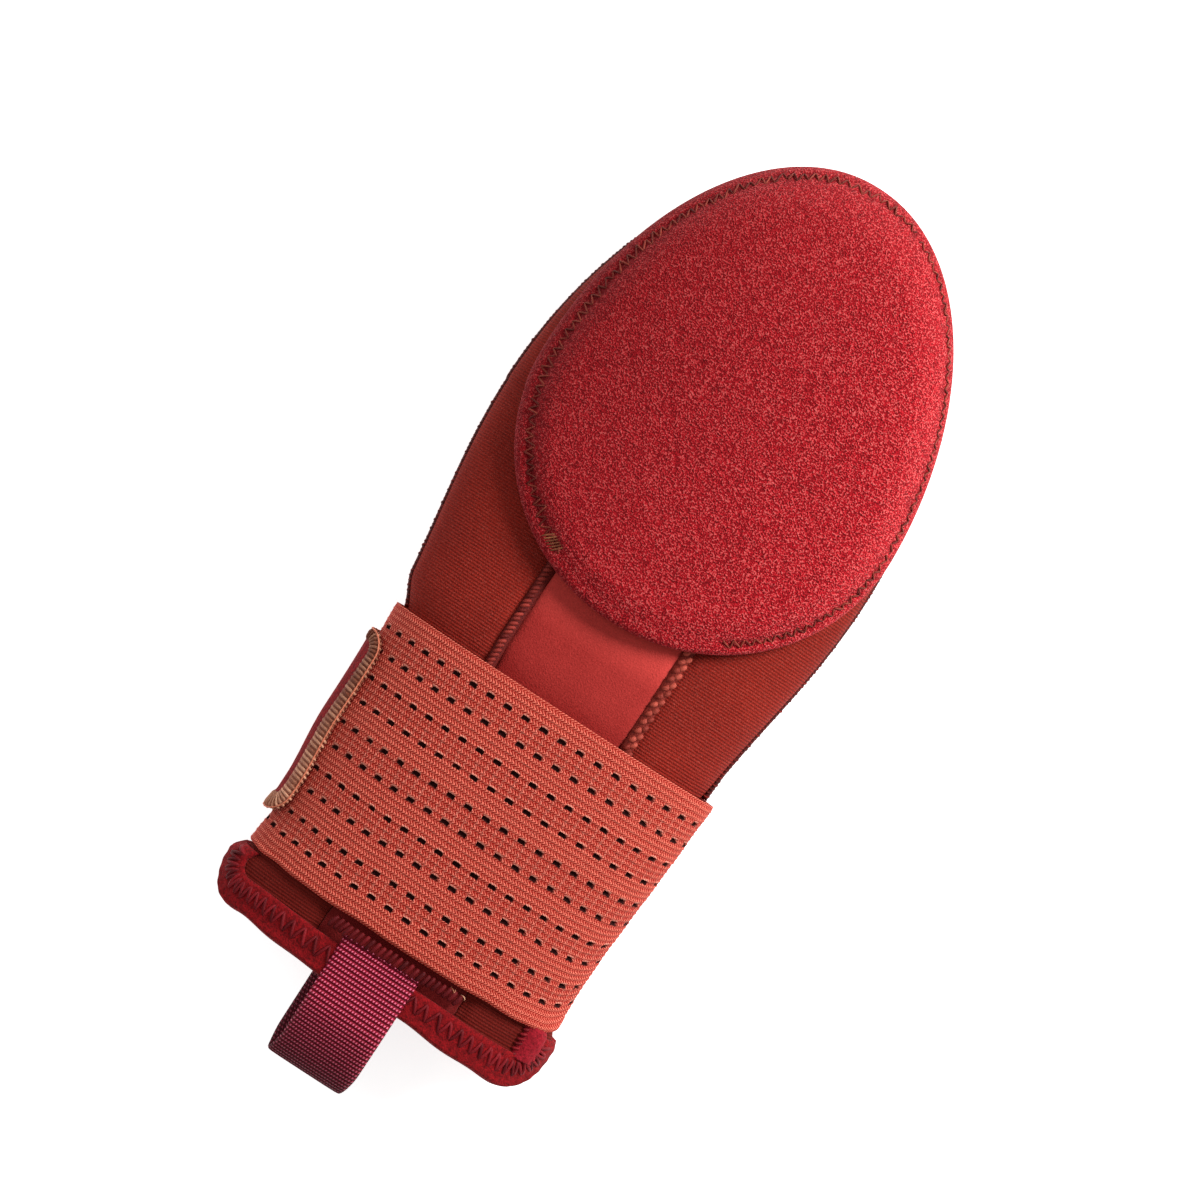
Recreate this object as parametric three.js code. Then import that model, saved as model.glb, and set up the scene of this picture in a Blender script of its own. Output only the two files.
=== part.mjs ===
import * as THREE from 'three';

// A sliding mitt for one hand, lying on its back. Millimetres, +Z up, fingertips towards +Y.
// The hand goes in at the cuff, past an elastic wrist strap, into a pocket sewn from four neoprene
// panels. A thick oval pad covers the fingers, and a webbing loop on the cuff pulls the mitt on.

// Driving sizes of the sewn pocket
const mittLength = 273; // cuff edge to fingertip
const knuckleWidth = 123;
const wristWidth = 105;
const cuffFlare = 1.2; // how much each side opens out again at the cuff
const wristTop = 35.5; // height of the top face at the wrist
const fingerTop = 27.5; // height of the top face under the oval pad
const wristSeamHeight = 17;
const fingerSeamHeight = 12.5;
const tipSeamHeight = 10.5;
const neoprene = 3;
const clearance = 0.3; // between pieces that touch

// Driving sizes of the centre panel and the seams
const centrePanelWidth = 47.2;
const centrePanelShift = 2.8; // to the right of the mitt's middle line
const ropeSeamWidth = 3.6;
const ropeSeamHeight = 1.7;
const edgeSeamWidth = 3.2;
const edgeSeamHeight = 1;

// Driving sizes of the cuff
const slitLength = 30; // the cuff is open at both sides up to here, under the strap
const slitWidth = 5;
const cornerRadius = 13;
const hemWidth = 9;
const bindingThickness = 1;
const hemWaveHeight = 0.8;
const hemWaveLength = 54;

// Driving sizes of the strap and its closure tab
const strapWidth = 80;
const strapThickness = 2;
const strapFromCuff = 18.5;
const strapBow = 1.6; // how far the lower edge sags towards the cuff in the middle of the front
const strapStandOff = 1.4; // extra room at both sides, where the strap leaves the panels
const tabWidth = 59;
const tabThickness = 1.6;
const tabFromStrapEdge = 10.5;
const tabFrontReach = 9.5; // past the side seam, over the front
const tabBackReach = 13; // past the side seam, towards the back
const tabCorner = 6;
const tabCurl = 1; // how far its two short edges curl away from the strap
const edgingWidth = 3.2;
const edgingThickness = 0.8;

// Driving sizes of the oval pad
const padWidth = 116.6;
const padLength = 147;
const padBottomFromCuff = 127.4;
const padBelowWidest = 57;
const padShift = 1.5; // to the right of the mitt's middle line
const padLean = 2.4; // degrees, top towards the left
const padThickness = 7.5;
const padRimThickness = 4.2;
const padRimWidth = 11; // from the rim to where the pad has its full thickness
const padMouthLift = 1.6; // how far the unsewn lower rim stands off the centre panel

// Driving sizes of the pull loop
const webbingWidth = 25;
const webbingThickness = 1.4;
const loopReach = 29; // past the cuff edge
const loopDroop = 9;
const loopTuck = 12; // how far each leg lies on the cuff
const loopFoldRadius = 3;
const loopBulge = 1.6; // how far each leg bows out

// Where the sections change, as shares of the length
const widestAt = 0.625;
const wristAt = 0.31;
const tipRoundsFrom = 0.7;

// The shape of a section: exponents of the top's rounded shoulders, and the flat share of the bottom
const wristShoulder = { across: 2.4, up: 2 };
const fingerShoulder = { across: 3.4, up: 2.3 };
const flatShare = 0.55;
const arcShare = 0.3; // of the bottom's turn, for each rounded corner
const tipFullness = 3;

// How closely the pad follows the shoulders under it: 1 is all the way
const padBridge = 0.96;

// Where the strap ends under the closure tab, as turns round the wrist from the left seam
const strapSewnEnd = -0.07;
const strapFreeEnd = 1.86;

// How finely the faceted solids are divided
const cuffRows = 5;
const bodyRows = 8;
const tipRows = 7;
const sideColumns = 9;
const centreColumns = 6;
const backCornerColumns = 7;
const backFlatColumns = 4;
const padSides = 44;
const strapColumns = 64;
const strapRows = 3;
const measuringSteps = 96;

const widestY = widestAt * mittLength;
const wristY = wristAt * mittLength;
const roundsY = tipRoundsFrom * mittLength;
const reach = mittLength - widestY;
const strapTopY = strapFromCuff + strapWidth;
const panelLift = clearance + strapThickness; // the strap lies between the panels and the ground
const centreLeft = centrePanelShift - centrePanelWidth / 2;
const centreRight = centrePanelShift + centrePanelWidth / 2;
const tabMiddleY = strapFromCuff + tabFromStrapEdge + tabWidth / 2;
const padMiddle = new THREE.Vector2(padShift, padBottomFromCuff + padBelowWidest);

const { clamp } = THREE.MathUtils;
const mix = (a, b, t) => a + (b - a) * t;
const ease = (t) => THREE.MathUtils.smoothstep(t, 0, 1);
const easeBetween = (y, from, to) => ease((y - from) / (to - from));
const steps = (count, from = 0, to = 1) =>
  Array.from({ length: count + 1 }, (_, i) => mix(from, to, i / count));

// Half the width at a station: an even taper from the knuckles to the wrist, half an ellipse at the tip
function halfWidth(y, offset) {
  const widest = knuckleWidth / 2 + offset;
  if (y >= widestY) return widest * Math.sqrt(Math.max(0, 1 - ((y - widestY) / reach) ** 2));
  const taper = (1 + Math.cos(Math.PI * clamp((widestY - y) / (widestY - wristY), 0, 1))) / 2;
  const flare = cuffFlare * (1 - easeBetween(y, 0, strapTopY / 2));
  return mix(wristWidth / 2 + offset, widest, taper) + flare;
}

// Heights of the side seam, the top face and the bottom face at a station
function heights(y) {
  const seamAtFingers = mix(wristSeamHeight, fingerSeamHeight, easeBetween(y, wristY, widestY));
  return {
    seam: mix(seamAtFingers, tipSeamHeight, easeBetween(y, widestY, mittLength)),
    top: mix(wristTop, fingerTop, easeBetween(y, wristY, roundsY)),
    bottom: mix(panelLift, 0, easeBetween(y, strapTopY, strapTopY + neoprene * 8)),
  };
}

// How much of its full height the mitt has at a station: all of it, until the tip rounds off
function fullness(y) {
  const along = clamp((y - roundsY) / (mittLength - roundsY), 0, 1);
  return Math.sqrt(1 - along ** tipFullness);
}

// A point of a section of unit size: turn 0 is the left seam and 1 the right seam
function unitTop(turn, y) {
  const boxy = easeBetween(y, wristY, widestY);
  const angle = Math.PI * turn;
  const side = Math.cos(angle);
  return {
    across: -Math.sign(side) * Math.abs(side) ** (2 / mix(wristShoulder.across, fingerShoulder.across, boxy)),
    up: Math.max(0, Math.sin(angle)) ** (2 / mix(wristShoulder.up, fingerShoulder.up, boxy)),
  };
}

function unitBottom(turn) {
  const fromSide = Math.min(turn, 1 - turn);
  const sign = turn < 0.5 ? -1 : 1;
  if (fromSide >= arcShare) {
    return { across: (flatShare * (turn - 0.5)) / (0.5 - arcShare), up: -1 };
  }
  const angle = ((fromSide / arcShare) * Math.PI) / 2;
  return { across: sign * (flatShare + (1 - flatShare) * Math.cos(angle)), up: -Math.sin(angle) };
}

// A point of the mitt's skin, moved outwards by an offset. The top and bottom skins lie a clearance
// apart at the side seam, and the cuff's edge is slightly wavy.
function skin(isTop, y, turn, offset) {
  const unit = isTop ? unitTop(turn, y) : unitBottom(turn);
  const { seam, top, bottom } = heights(y);
  const tall = (isTop ? top - seam : seam - bottom) - clearance / 2 + offset;
  const x = halfWidth(y, offset) * unit.across;
  const along = y > widestY ? widestY + ((y - widestY) * (reach + offset)) / reach : y;
  const wave = hemWaveHeight * Math.sin((2 * Math.PI * x) / hemWaveLength);
  return new THREE.Vector3(
    x,
    along + wave * (1 - easeBetween(y, 0, strapFromCuff)),
    seam + (isTop ? 1 : -1) * (clearance / 2) + unit.up * tall * fullness(y),
  );
}

// The turn at which a section passes a place that is measured from the left seam
function turnWhere(isTop, y, passed) {
  let before = skin(isTop, y, 0, 0);
  let length = 0;
  for (let i = 1; i <= measuringSteps; i++) {
    const point = skin(isTop, y, i / measuringSteps, 0);
    const run = Math.hypot(point.x - before.x, point.z - before.z);
    const share = passed(before, point, length, run);
    if (share !== null) return (i - 1 + clamp(share, 0, 1)) / measuringSteps;
    length += run;
    before = point;
  }
  return 1;
}

function turnAtLength(isTop, y, wanted) {
  return turnWhere(isTop, y, (a, b, length, run) => (length + run >= wanted ? (wanted - length) / run : null));
}

function turnAtX(y, x) {
  if (Math.abs(x) >= halfWidth(y, 0)) return x < 0 ? 0 : 1;
  return turnWhere(true, y, (a, b) => (b.x >= x ? (x - a.x) / (b.x - a.x) : null));
}

// Joins closed rings of points, first to last, into one closed body. The ends are closed by pairing
// the points of the ring's two long sides, unless the rings go round.
function loft(rings, goesRound = false) {
  const indexOf = new Map();
  const positions = [];
  const vertex = (p) => {
    const key = [p.x, p.y, p.z].map((c) => Math.round(c * 1e4)).join();
    if (!indexOf.has(key)) {
      indexOf.set(key, positions.length / 3);
      positions.push(p.x, p.y, p.z);
    }
    return indexOf.get(key);
  };
  const ids = rings.map((ring) => ring.map(vertex));
  const triangles = [];
  const quad = (a, b, c, d) => {
    for (const t of [[a, b, c], [a, c, d]]) {
      if (new Set(t).size === 3) triangles.push(t);
    }
  };
  const count = ids[0].length;
  const last = ids.length - 1;
  for (let r = 0; r < (goesRound ? ids.length : last); r++) {
    const next = ids[(r + 1) % ids.length];
    for (let i = 0; i < count; i++) {
      const j = (i + 1) % count;
      quad(ids[r][i], ids[r][j], next[j], next[i]);
    }
  }
  if (!goesRound) {
    for (let i = 0; i < count / 2 - 1; i++) {
      const j = count - 1 - i;
      quad(ids[0][i], ids[0][j], ids[0][j - 1], ids[0][i + 1]);
      quad(ids[last][i], ids[last][i + 1], ids[last][j - 1], ids[last][j]);
    }
  }
  const corner = (i) => new THREE.Vector3().fromArray(positions, 3 * i);
  const volume = triangles.reduce((sum, [a, b, c]) => sum + corner(a).dot(corner(b).cross(corner(c))), 0);
  const outward = volume > 0 ? triangles : triangles.map(([a, b, c]) => [a, c, b]);
  const geometry = new THREE.BufferGeometry();
  geometry.setAttribute('position', new THREE.Float32BufferAttribute(positions, 3));
  geometry.setIndex(outward.flat());
  geometry.computeVertexNormals();
  return geometry;
}

// How far the cuff's side edge lies from the side seam, along the section: a slit that closes under
// the strap, and is rounded off at the cuff's corner
function cuffInset(y) {
  const slit = (slitWidth / 2) * (1 - easeBetween(y, strapFromCuff, slitLength));
  if (y >= cornerRadius) return slit;
  return slit + cornerRadius - Math.sqrt(cornerRadius ** 2 - (cornerRadius - y) ** 2);
}

const cuffEdge = (isTop, y) => (y < slitLength ? turnAtLength(isTop, y, cuffInset(y)) : 0);

// Where the outline is as far from the middle line as a seam, close to the tip
function tipStationAt(x) {
  return widestY + reach * Math.sqrt(1 - (x / (knuckleWidth / 2)) ** 2);
}

// The rows of the panels. They are the same for all four, so that the panels meet in straight lines.
const leftSeamEnd = tipStationAt(centreLeft);
const rightSeamEnd = tipStationAt(centreRight);
const tipAngles = steps(tipRows, 0, Math.asin((rightSeamEnd - widestY) / reach));
const stations = [
  ...steps(cuffRows).map((t) => cornerRadius * t * t),
  strapFromCuff,
  ...steps(bodyRows, slitLength, widestY),
  ...tipAngles.slice(1).map((angle) => widestY + reach * Math.sin(angle)),
  leftSeamEnd,
  mix(leftSeamEnd, mittLength, 0.7),
  mittLength,
];

// A sewn panel: its outer and inner skins between two edges, which are turns that depend on the station
function panel(isTop, lastY, shares, leftEdge, rightEdge) {
  return loft(
    stations.filter((y) => y <= lastY).map((y) => {
      const turns = shares.map((share) => mix(leftEdge(y), rightEdge(y), share));
      const outer = turns.map((turn) => skin(isTop, y, turn, 0));
      const inner = turns.map((turn) => skin(isTop, y, turn, -neoprene));
      return [...outer, ...inner.reverse()];
    }),
  );
}

function leftSidePanel() {
  const seam = centreLeft - clearance / 2;
  return panel(true, leftSeamEnd, steps(sideColumns), (y) => cuffEdge(true, y), (y) => turnAtX(y, seam));
}

function rightSidePanel() {
  const seam = centreRight + clearance / 2;
  return panel(true, rightSeamEnd, steps(sideColumns), (y) => turnAtX(y, seam), (y) => 1 - cuffEdge(true, y));
}

function centrePanel() {
  const left = centreLeft + clearance / 2;
  const right = centreRight - clearance / 2;
  return panel(true, mittLength, steps(centreColumns), (y) => turnAtX(y, left), (y) => turnAtX(y, right));
}

function backPanel() {
  const shares = [
    ...steps(backCornerColumns, 0, arcShare),
    ...steps(backFlatColumns, arcShare, 1 - arcShare).slice(1, -1),
    ...steps(backCornerColumns, 1 - arcShare, 1),
  ];
  return panel(false, mittLength, shares, (y) => cuffEdge(false, y), (y) => 1 - cuffEdge(false, y));
}

// The oval pad's outline: an egg, leaning a little. The share is 1 on the rim and 0 in the middle.
function padPoint(angle, share) {
  const along = Math.sin(angle) > 0 ? padLength - padBelowWidest : padBelowWidest;
  return new THREE.Vector2((Math.cos(angle) * share * padWidth) / 2, Math.sin(angle) * share * along)
    .rotateAround(new THREE.Vector2(), THREE.MathUtils.degToRad(padLean))
    .add(padMiddle);
}

// Height of the top skin. A place is first pulled towards the pad's middle line, so that the pad bridges
// the rounded shoulders and the tip, and its rim overhangs them.
function padSeat({ x, y }) {
  const station = y > padMiddle.y ? mix(padMiddle.y, y, padBridge) : y;
  return skin(true, station, turnAtX(station, mix(padMiddle.x, x, padBridge)), 0).z + 1.5 * clearance;
}

function padThicknessAt(share) {
  const fromRim = ((1 - share) * padWidth) / 2;
  return mix(padRimThickness, padThickness, easeBetween(fromRim, 0, padRimWidth));
}

// The unsewn mouth of the pad, between the two rope seams, stands off the centre panel
function mouthLift(angle, share) {
  const fromBottom = Math.abs(angle + Math.PI / 2) / (Math.PI / 4);
  return padMouthLift * ease(1 - fromBottom) * easeBetween(share, 0.7, 1);
}

function guardPad() {
  const angles = steps(padSides, -Math.PI, Math.PI).slice(0, -1);
  const rimShare = padRimThickness / padWidth; // half the rim's thickness, in shares of half the width
  const topShares = [0, 0.3, 0.58, 0.78, 0.88, 1 - rimShare];
  const bottomShares = [1 - rimShare, 0.88, 0.7, 0.4, 0];
  const ring = (share, height) =>
    angles.map((angle) => {
      const place = padPoint(angle, share);
      const z = padSeat(place) + mouthLift(angle, share) + height(share);
      return new THREE.Vector3(place.x, place.y, z);
    });
  const rim = steps(4, Math.PI / 2, -Math.PI / 2).slice(1, -1).map((turn) => {
    const share = 1 - rimShare * (1 - Math.cos(turn));
    return ring(share, () => (padRimThickness / 2) * (1 + Math.sin(turn)));
  });
  const top = topShares.map((share) => ring(share, padThicknessAt));
  const bottom = bottomShares.map((share) => ring(share, () => 0));
  return loft([...top, ...rim, ...bottom]);
}

// The station at which the pad's rim crosses a line along the mitt, on the wrist side
function padRimAt(x) {
  const rim = steps(measuringSteps, -Math.PI, 0).map((angle) => padPoint(angle, 1));
  const after = rim.findIndex((point) => point.x >= x);
  const [a, b] = [rim[after - 1], rim[after]];
  return mix(a.y, b.y, (x - a.x) / (b.x - a.x));
}

// The raised, rope-like seam beside the centre panel, from the strap to the oval pad's rim
function ropeSeam(x) {
  const section = [[-1, 0], [-0.7, 0.75], [0, 1], [0.7, 0.75], [1, 0], [0, 0]];
  const lastY = Math.min(padRimAt(x - ropeSeamWidth / 2), padRimAt(x + ropeSeamWidth / 2)) - 2 * clearance;
  return loft(
    steps(4, strapTopY + clearance, lastY).map((y) =>
      section.map(([across, up]) =>
        skin(true, y, turnAtX(y, x + (across * ropeSeamWidth) / 2), clearance + up * ropeSeamHeight),
      ),
    ),
  );
}

// The stitched seam that joins front and back, round the outline from strap to strap
function edgeSeam() {
  const section = [[0, -1], [0.7, -0.75], [1, 0], [0.7, 0.75], [0, 1]];
  const side = steps(8, strapTopY + clearance, widestY).map((y) => new THREE.Vector2(-halfWidth(y, 0), y));
  const tip = steps(36, 0, Math.PI).slice(1, -1).map(
    (angle) => new THREE.Vector2((-knuckleWidth / 2) * Math.cos(angle), widestY + reach * Math.sin(angle)),
  );
  const path = [...side, ...tip, ...side.toReversed().map(({ x, y }) => new THREE.Vector2(-x, y))];
  return loft(
    path.map((place, i) => {
      const ahead = path[Math.min(i + 1, path.length - 1)];
      const behind = path[Math.max(i - 1, 0)];
      const outward = new THREE.Vector2(behind.y - ahead.y, ahead.x - behind.x).normalize();
      return section.map(([out, up]) => {
        const point = place.clone().addScaledVector(outward, clearance + out * edgeSeamHeight);
        return new THREE.Vector3(point.x, point.y, heights(place.y).seam + (up * edgeSeamWidth) / 2);
      });
    }),
  );
}

// The binding folded over the edge of a cuff flap: down one side, round both corners and up the other.
// A place on the flap is a length from the left seam, along the section, and a distance from the cuff.
function hem(isTop) {
  const folded = clearance + bindingThickness;
  const inside = -neoprene - 2 * clearance;
  const profile = [
    [hemWidth, folded],
    [(2 * hemWidth) / 3, folded],
    [hemWidth / 3, folded],
    [0, folded],
    [-folded, 0],
    [-folded, inside],
    [0, inside - bindingThickness],
    [hemWidth / 2, inside - bindingThickness],
    [hemWidth, inside - bindingThickness],
    [hemWidth, inside],
    [hemWidth / 2, inside],
    [0, inside],
    [-clearance, inside],
    [-clearance, clearance],
    [0, clearance],
    [hemWidth / 3, clearance],
    [(2 * hemWidth) / 3, clearance],
    [hemWidth, clearance],
  ];
  const cornerLength = slitWidth / 2 + cornerRadius;
  const side = steps(1, strapFromCuff - strapBow - clearance, cornerRadius).map((y) => ({ y, angle: 0, middle: 0 }));
  const corner = steps(6, 0, Math.PI / 2).slice(1).map((angle) => ({ y: cornerRadius, angle, middle: 0 }));
  const bottom = steps(9).slice(1).map((middle) => ({ y: cornerRadius, angle: Math.PI / 2, middle }));
  const leftHalf = [...side, ...corner, ...bottom].map((place) => ({ ...place, isRight: false }));
  const rightHalf = leftHalf.toReversed().slice(1).map((place) => ({ ...place, isRight: true }));
  const point = ({ y, angle, middle, isRight }, [inset, offset]) => {
    const radius = cornerRadius - inset;
    const station = y - radius * Math.sin(angle);
    const edgeTurn = turnAtLength(isTop, station, cornerLength - radius * Math.cos(angle));
    const turn = mix(edgeTurn, 0.5, middle);
    return skin(isTop, station, isRight ? 1 - turn : turn, offset);
  };
  return loft([...leftHalf, ...rightHalf].map((place) => profile.map((place2) => point(place, place2))));
}

// A place round the wrist: the left seam is 0, the right seam 1, and the bottom lies between 1 and 2
function wrap(round, y, offset) {
  const isTop = round >= 0 && round <= 1;
  return skin(isTop, y, isTop ? round : Math.min(Math.abs(round), 2 - round), offset);
}

// How far the strap's inner face lies off the panels: more at the sides than in front and below
function strapSeat(round) {
  const toSide = Math.abs(round - Math.round(round));
  const isSide = round < 1.5 ? 1 : 0.5;
  return clearance + strapStandOff * isSide * ease(1 - toSide / 0.22);
}

function strap() {
  return loft(
    steps(strapColumns, strapSewnEnd, strapFreeEnd).map((round) => {
      const bow = strapBow * Math.max(0, Math.sin(Math.PI * clamp(round, 0, 1)));
      const ys = steps(strapRows, strapFromCuff - bow, strapTopY);
      const inner = ys.map((y) => wrap(round, y, strapSeat(round)));
      const outer = ys.map((y) => wrap(round, y, strapSeat(round) + strapThickness));
      return [...outer, ...inner.reverse()];
    }),
  );
}

// A place on the closure tab: a length from the left seam, towards the front if positive, a station, and
// a height over the strap
function tabPoint(length, y, height) {
  const round = length > 0 ? turnAtLength(true, y, length) : -turnAtLength(false, y, -length);
  const fromMiddle = (2 * Math.abs(y - tabMiddleY)) / tabWidth;
  return wrap(round, y, strapSeat(round) + strapThickness + clearance + tabCurl * fromMiddle ** 4 + height);
}

// The tab is a rectangle with round corners, each row across it cut short by the corners
function closureTab() {
  const halfLength = (tabFrontReach + tabBackReach) / 2;
  const middleLength = (tabFrontReach - tabBackReach) / 2;
  const corner = steps(4, 0, Math.PI / 2).map((angle) => halfLength - tabCorner * (1 - Math.sin(angle)));
  const lengths = [...corner.toReversed(), ...steps(8, halfLength - tabCorner, tabCorner - halfLength).slice(1, -1)];
  const rows = [...lengths, ...corner.map((length) => -length)];
  return loft(
    rows.map((length) => {
      const past = Math.max(0, Math.abs(length) - (halfLength - tabCorner));
      const half = tabWidth / 2 - tabCorner + Math.sqrt(tabCorner ** 2 - past ** 2);
      const ys = steps(8, tabMiddleY - half, tabMiddleY + half);
      const inner = ys.map((y) => tabPoint(middleLength + length, y, 0));
      const outer = ys.map((y) => tabPoint(middleLength + length, y, tabThickness));
      return [...outer, ...inner.reverse()];
    }),
  );
}

// The overlocked edging goes round the tab, over its outer face and its edge
function tabEdging() {
  const top = tabThickness + clearance;
  const profile = [
    [edgingWidth, top],
    [edgingWidth, top + edgingThickness],
    [0, top + edgingThickness],
    [-clearance - edgingThickness, tabThickness / 2],
    [-clearance - edgingThickness, 0],
    [-clearance, 0],
    [-clearance, top],
  ];
  const halfLength = (tabFrontReach + tabBackReach) / 2 - tabCorner;
  const halfWide = tabWidth / 2 - tabCorner;
  const centres = [[1, 1], [-1, 1], [-1, -1], [1, -1]];
  const places = centres.flatMap(([alongSign, wideSign], quarter) => [
    ...steps(4, 0, Math.PI / 2).map((turn) => ({
      length: alongSign * halfLength,
      wide: wideSign * halfWide,
      angle: (quarter * Math.PI) / 2 + turn,
    })),
    ...steps(6).slice(1, -1).map((t) => ({
      length: quarter % 2 ? alongSign * halfLength : mix(alongSign, -alongSign, t) * halfLength,
      wide: quarter % 2 ? mix(wideSign, -wideSign, t) * halfWide : wideSign * halfWide,
      angle: ((quarter + 1) * Math.PI) / 2,
    })),
  ]);
  const middleLength = (tabFrontReach - tabBackReach) / 2;
  const rings = places.map(({ length, wide, angle }) =>
    profile.map(([inset, height]) =>
      tabPoint(
        middleLength + length + (tabCorner - inset) * Math.cos(angle),
        tabMiddleY + wide + (tabCorner - inset) * Math.sin(angle),
        height,
      ),
    ),
  );
  return loft(rings, true);
}

// The webbing loop: one leg on the cuff's front, a fold past the edge, one leg back inside the cuff
function pullLoop() {
  const half = webbingThickness / 2;
  const outerLeg = clearance + bindingThickness + clearance + half;
  const innerLeg = -neoprene - outerLeg - clearance;
  const onCuff = (y, offset) => skin(true, y, 0.5, offset);
  const hang = (out, up) => {
    const droop = loopDroop * (out / loopReach) ** 1.5;
    return onCuff(0, 0).add(new THREE.Vector3(0, -out, up - droop));
  };
  const foldMiddle = (outerLeg + innerLeg) / 2;
  const foldEdge = loopReach - loopFoldRadius;
  const line = new THREE.CatmullRomCurve3([
    onCuff(loopTuck, outerLeg),
    onCuff(loopTuck / 2, outerLeg),
    onCuff(0, outerLeg),
    hang(loopReach * 0.3, outerLeg + loopBulge),
    hang(loopReach * 0.65, foldMiddle + loopFoldRadius + loopBulge),
    hang(foldEdge, foldMiddle + loopFoldRadius),
    hang(loopReach, foldMiddle),
    hang(foldEdge, foldMiddle - loopFoldRadius),
    hang(loopReach * 0.65, foldMiddle - loopFoldRadius - loopBulge),
    hang(loopReach * 0.3, innerLeg - loopBulge),
    onCuff(0, innerLeg),
    onCuff(loopTuck / 2, innerLeg),
    onCuff(loopTuck, innerLeg),
  ], false, 'centripetal');
  const across = webbingWidth / 2;
  const camber = onCuff(0, 0).z - skin(true, 0, turnAtX(0, across), 0).z;
  return loft(
    steps(30).map((t) => {
      const middle = line.getPoint(t);
      const along = line.getTangent(t);
      const up = new THREE.Vector3(0, -along.z, along.y).normalize().multiplyScalar(half);
      const side = (x, sign) =>
        new THREE.Vector3(x, middle.y, middle.z - camber * Math.abs(x / across)).addScaledVector(up, sign);
      return [...[-across, 0, across].map((x) => side(x, 1)), ...[across, 0, -across].map((x) => side(x, -1))];
    }),
  );
}

const colours = {
  sidePanel: 0x8f2018,
  centrePanel: 0xa8302a,
  pad: 0xa81c2b,
  rope: 0x8e3a2c,
  hem: 0x7c1420,
  elastic: 0xc4503e,
  edging: 0xa0714c,
  webbing: 0x8c1740,
};

function piece(name, geometry, color, roughness) {
  const mesh = new THREE.Mesh(geometry, new THREE.MeshStandardMaterial({ color, roughness, metalness: 0 }));
  mesh.name = name;
  return mesh;
}

const mitt = new THREE.Group().add(
  piece('centre_panel', centrePanel(), colours.centrePanel, 0.85),
  piece('left_side_panel', leftSidePanel(), colours.sidePanel, 0.8),
  piece('right_side_panel', rightSidePanel(), colours.sidePanel, 0.8),
  piece('back_panel', backPanel(), colours.sidePanel, 0.8),
  piece('guard_pad', guardPad(), colours.pad, 0.95),
  piece('rope_seam_left', ropeSeam(centreLeft), colours.rope, 0.75),
  piece('rope_seam_right', ropeSeam(centreRight), colours.rope, 0.75),
  piece('edge_seam', edgeSeam(), colours.rope, 0.8),
  piece('front_hem', hem(true), colours.hem, 0.9),
  piece('back_hem', hem(false), colours.hem, 0.9),
  piece('elastic_strap', strap(), colours.elastic, 0.7),
  piece('closure_tab', closureTab(), colours.hem, 0.8),
  piece('closure_tab_edging', tabEdging(), colours.edging, 0.7),
  piece('pull_loop', pullLoop(), colours.webbing, 0.5),
);

// The origin is the middle of the space that the mitt takes, on the surface under it
const space = new THREE.Box3().setFromObject(mitt);
const middle = space.getCenter(new THREE.Vector3());
mitt.position.set(-middle.x, -middle.y, -space.min.z);

export default new THREE.Group().add(mitt);
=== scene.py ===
"""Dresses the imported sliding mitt: neoprene panels, terry pad, slotted elastic, stitches and webbing.

Every shape is worked out in the mitt's own millimetres, with x to the right, y from the cuff's edge to
the fingertip and z up from the surface it lies on, and is put into the frame's metres as its mesh is made.
"""

import logging
from dataclasses import dataclass, field
from enum import Enum

import bmesh
import bpy
import numpy as np
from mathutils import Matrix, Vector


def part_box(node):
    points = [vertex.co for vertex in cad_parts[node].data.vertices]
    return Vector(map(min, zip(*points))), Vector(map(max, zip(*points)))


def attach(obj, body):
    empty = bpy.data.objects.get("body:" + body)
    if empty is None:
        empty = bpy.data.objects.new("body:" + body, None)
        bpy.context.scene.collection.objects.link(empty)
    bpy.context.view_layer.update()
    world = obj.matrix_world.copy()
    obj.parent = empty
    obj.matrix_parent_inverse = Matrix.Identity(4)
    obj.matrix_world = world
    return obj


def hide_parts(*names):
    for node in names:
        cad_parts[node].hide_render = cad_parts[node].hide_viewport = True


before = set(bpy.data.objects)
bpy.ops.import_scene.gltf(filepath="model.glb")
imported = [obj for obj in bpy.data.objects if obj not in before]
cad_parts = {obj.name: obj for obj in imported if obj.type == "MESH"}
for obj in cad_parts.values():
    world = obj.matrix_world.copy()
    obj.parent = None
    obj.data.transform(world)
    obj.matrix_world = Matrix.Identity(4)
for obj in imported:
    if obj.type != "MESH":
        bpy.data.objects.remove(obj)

Array = np.ndarray
log = logging.getLogger("mitt")

MM = 0.001


def mix(a, b, t):
    """Return the value a share t of the way from a to b."""
    return a + (b - a) * t


def ease(t: Array) -> Array:
    """Return 3t^2 - 2t^3, with t held between 0 and 1."""
    t = np.clip(t, 0.0, 1.0)
    return t * t * (3.0 - 2.0 * t)


def ease_between(value: Array, low: float, high: float) -> Array:
    """Return 0 at low, 1 at high and a smooth step between them."""
    return ease((np.asarray(value, float) - low) / (high - low))


def unit(vectors: Array) -> Array:
    """Return the vectors of the last axis, each of length one."""
    return vectors / np.maximum(np.linalg.norm(vectors, axis=-1, keepdims=True), 1e-9)


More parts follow.
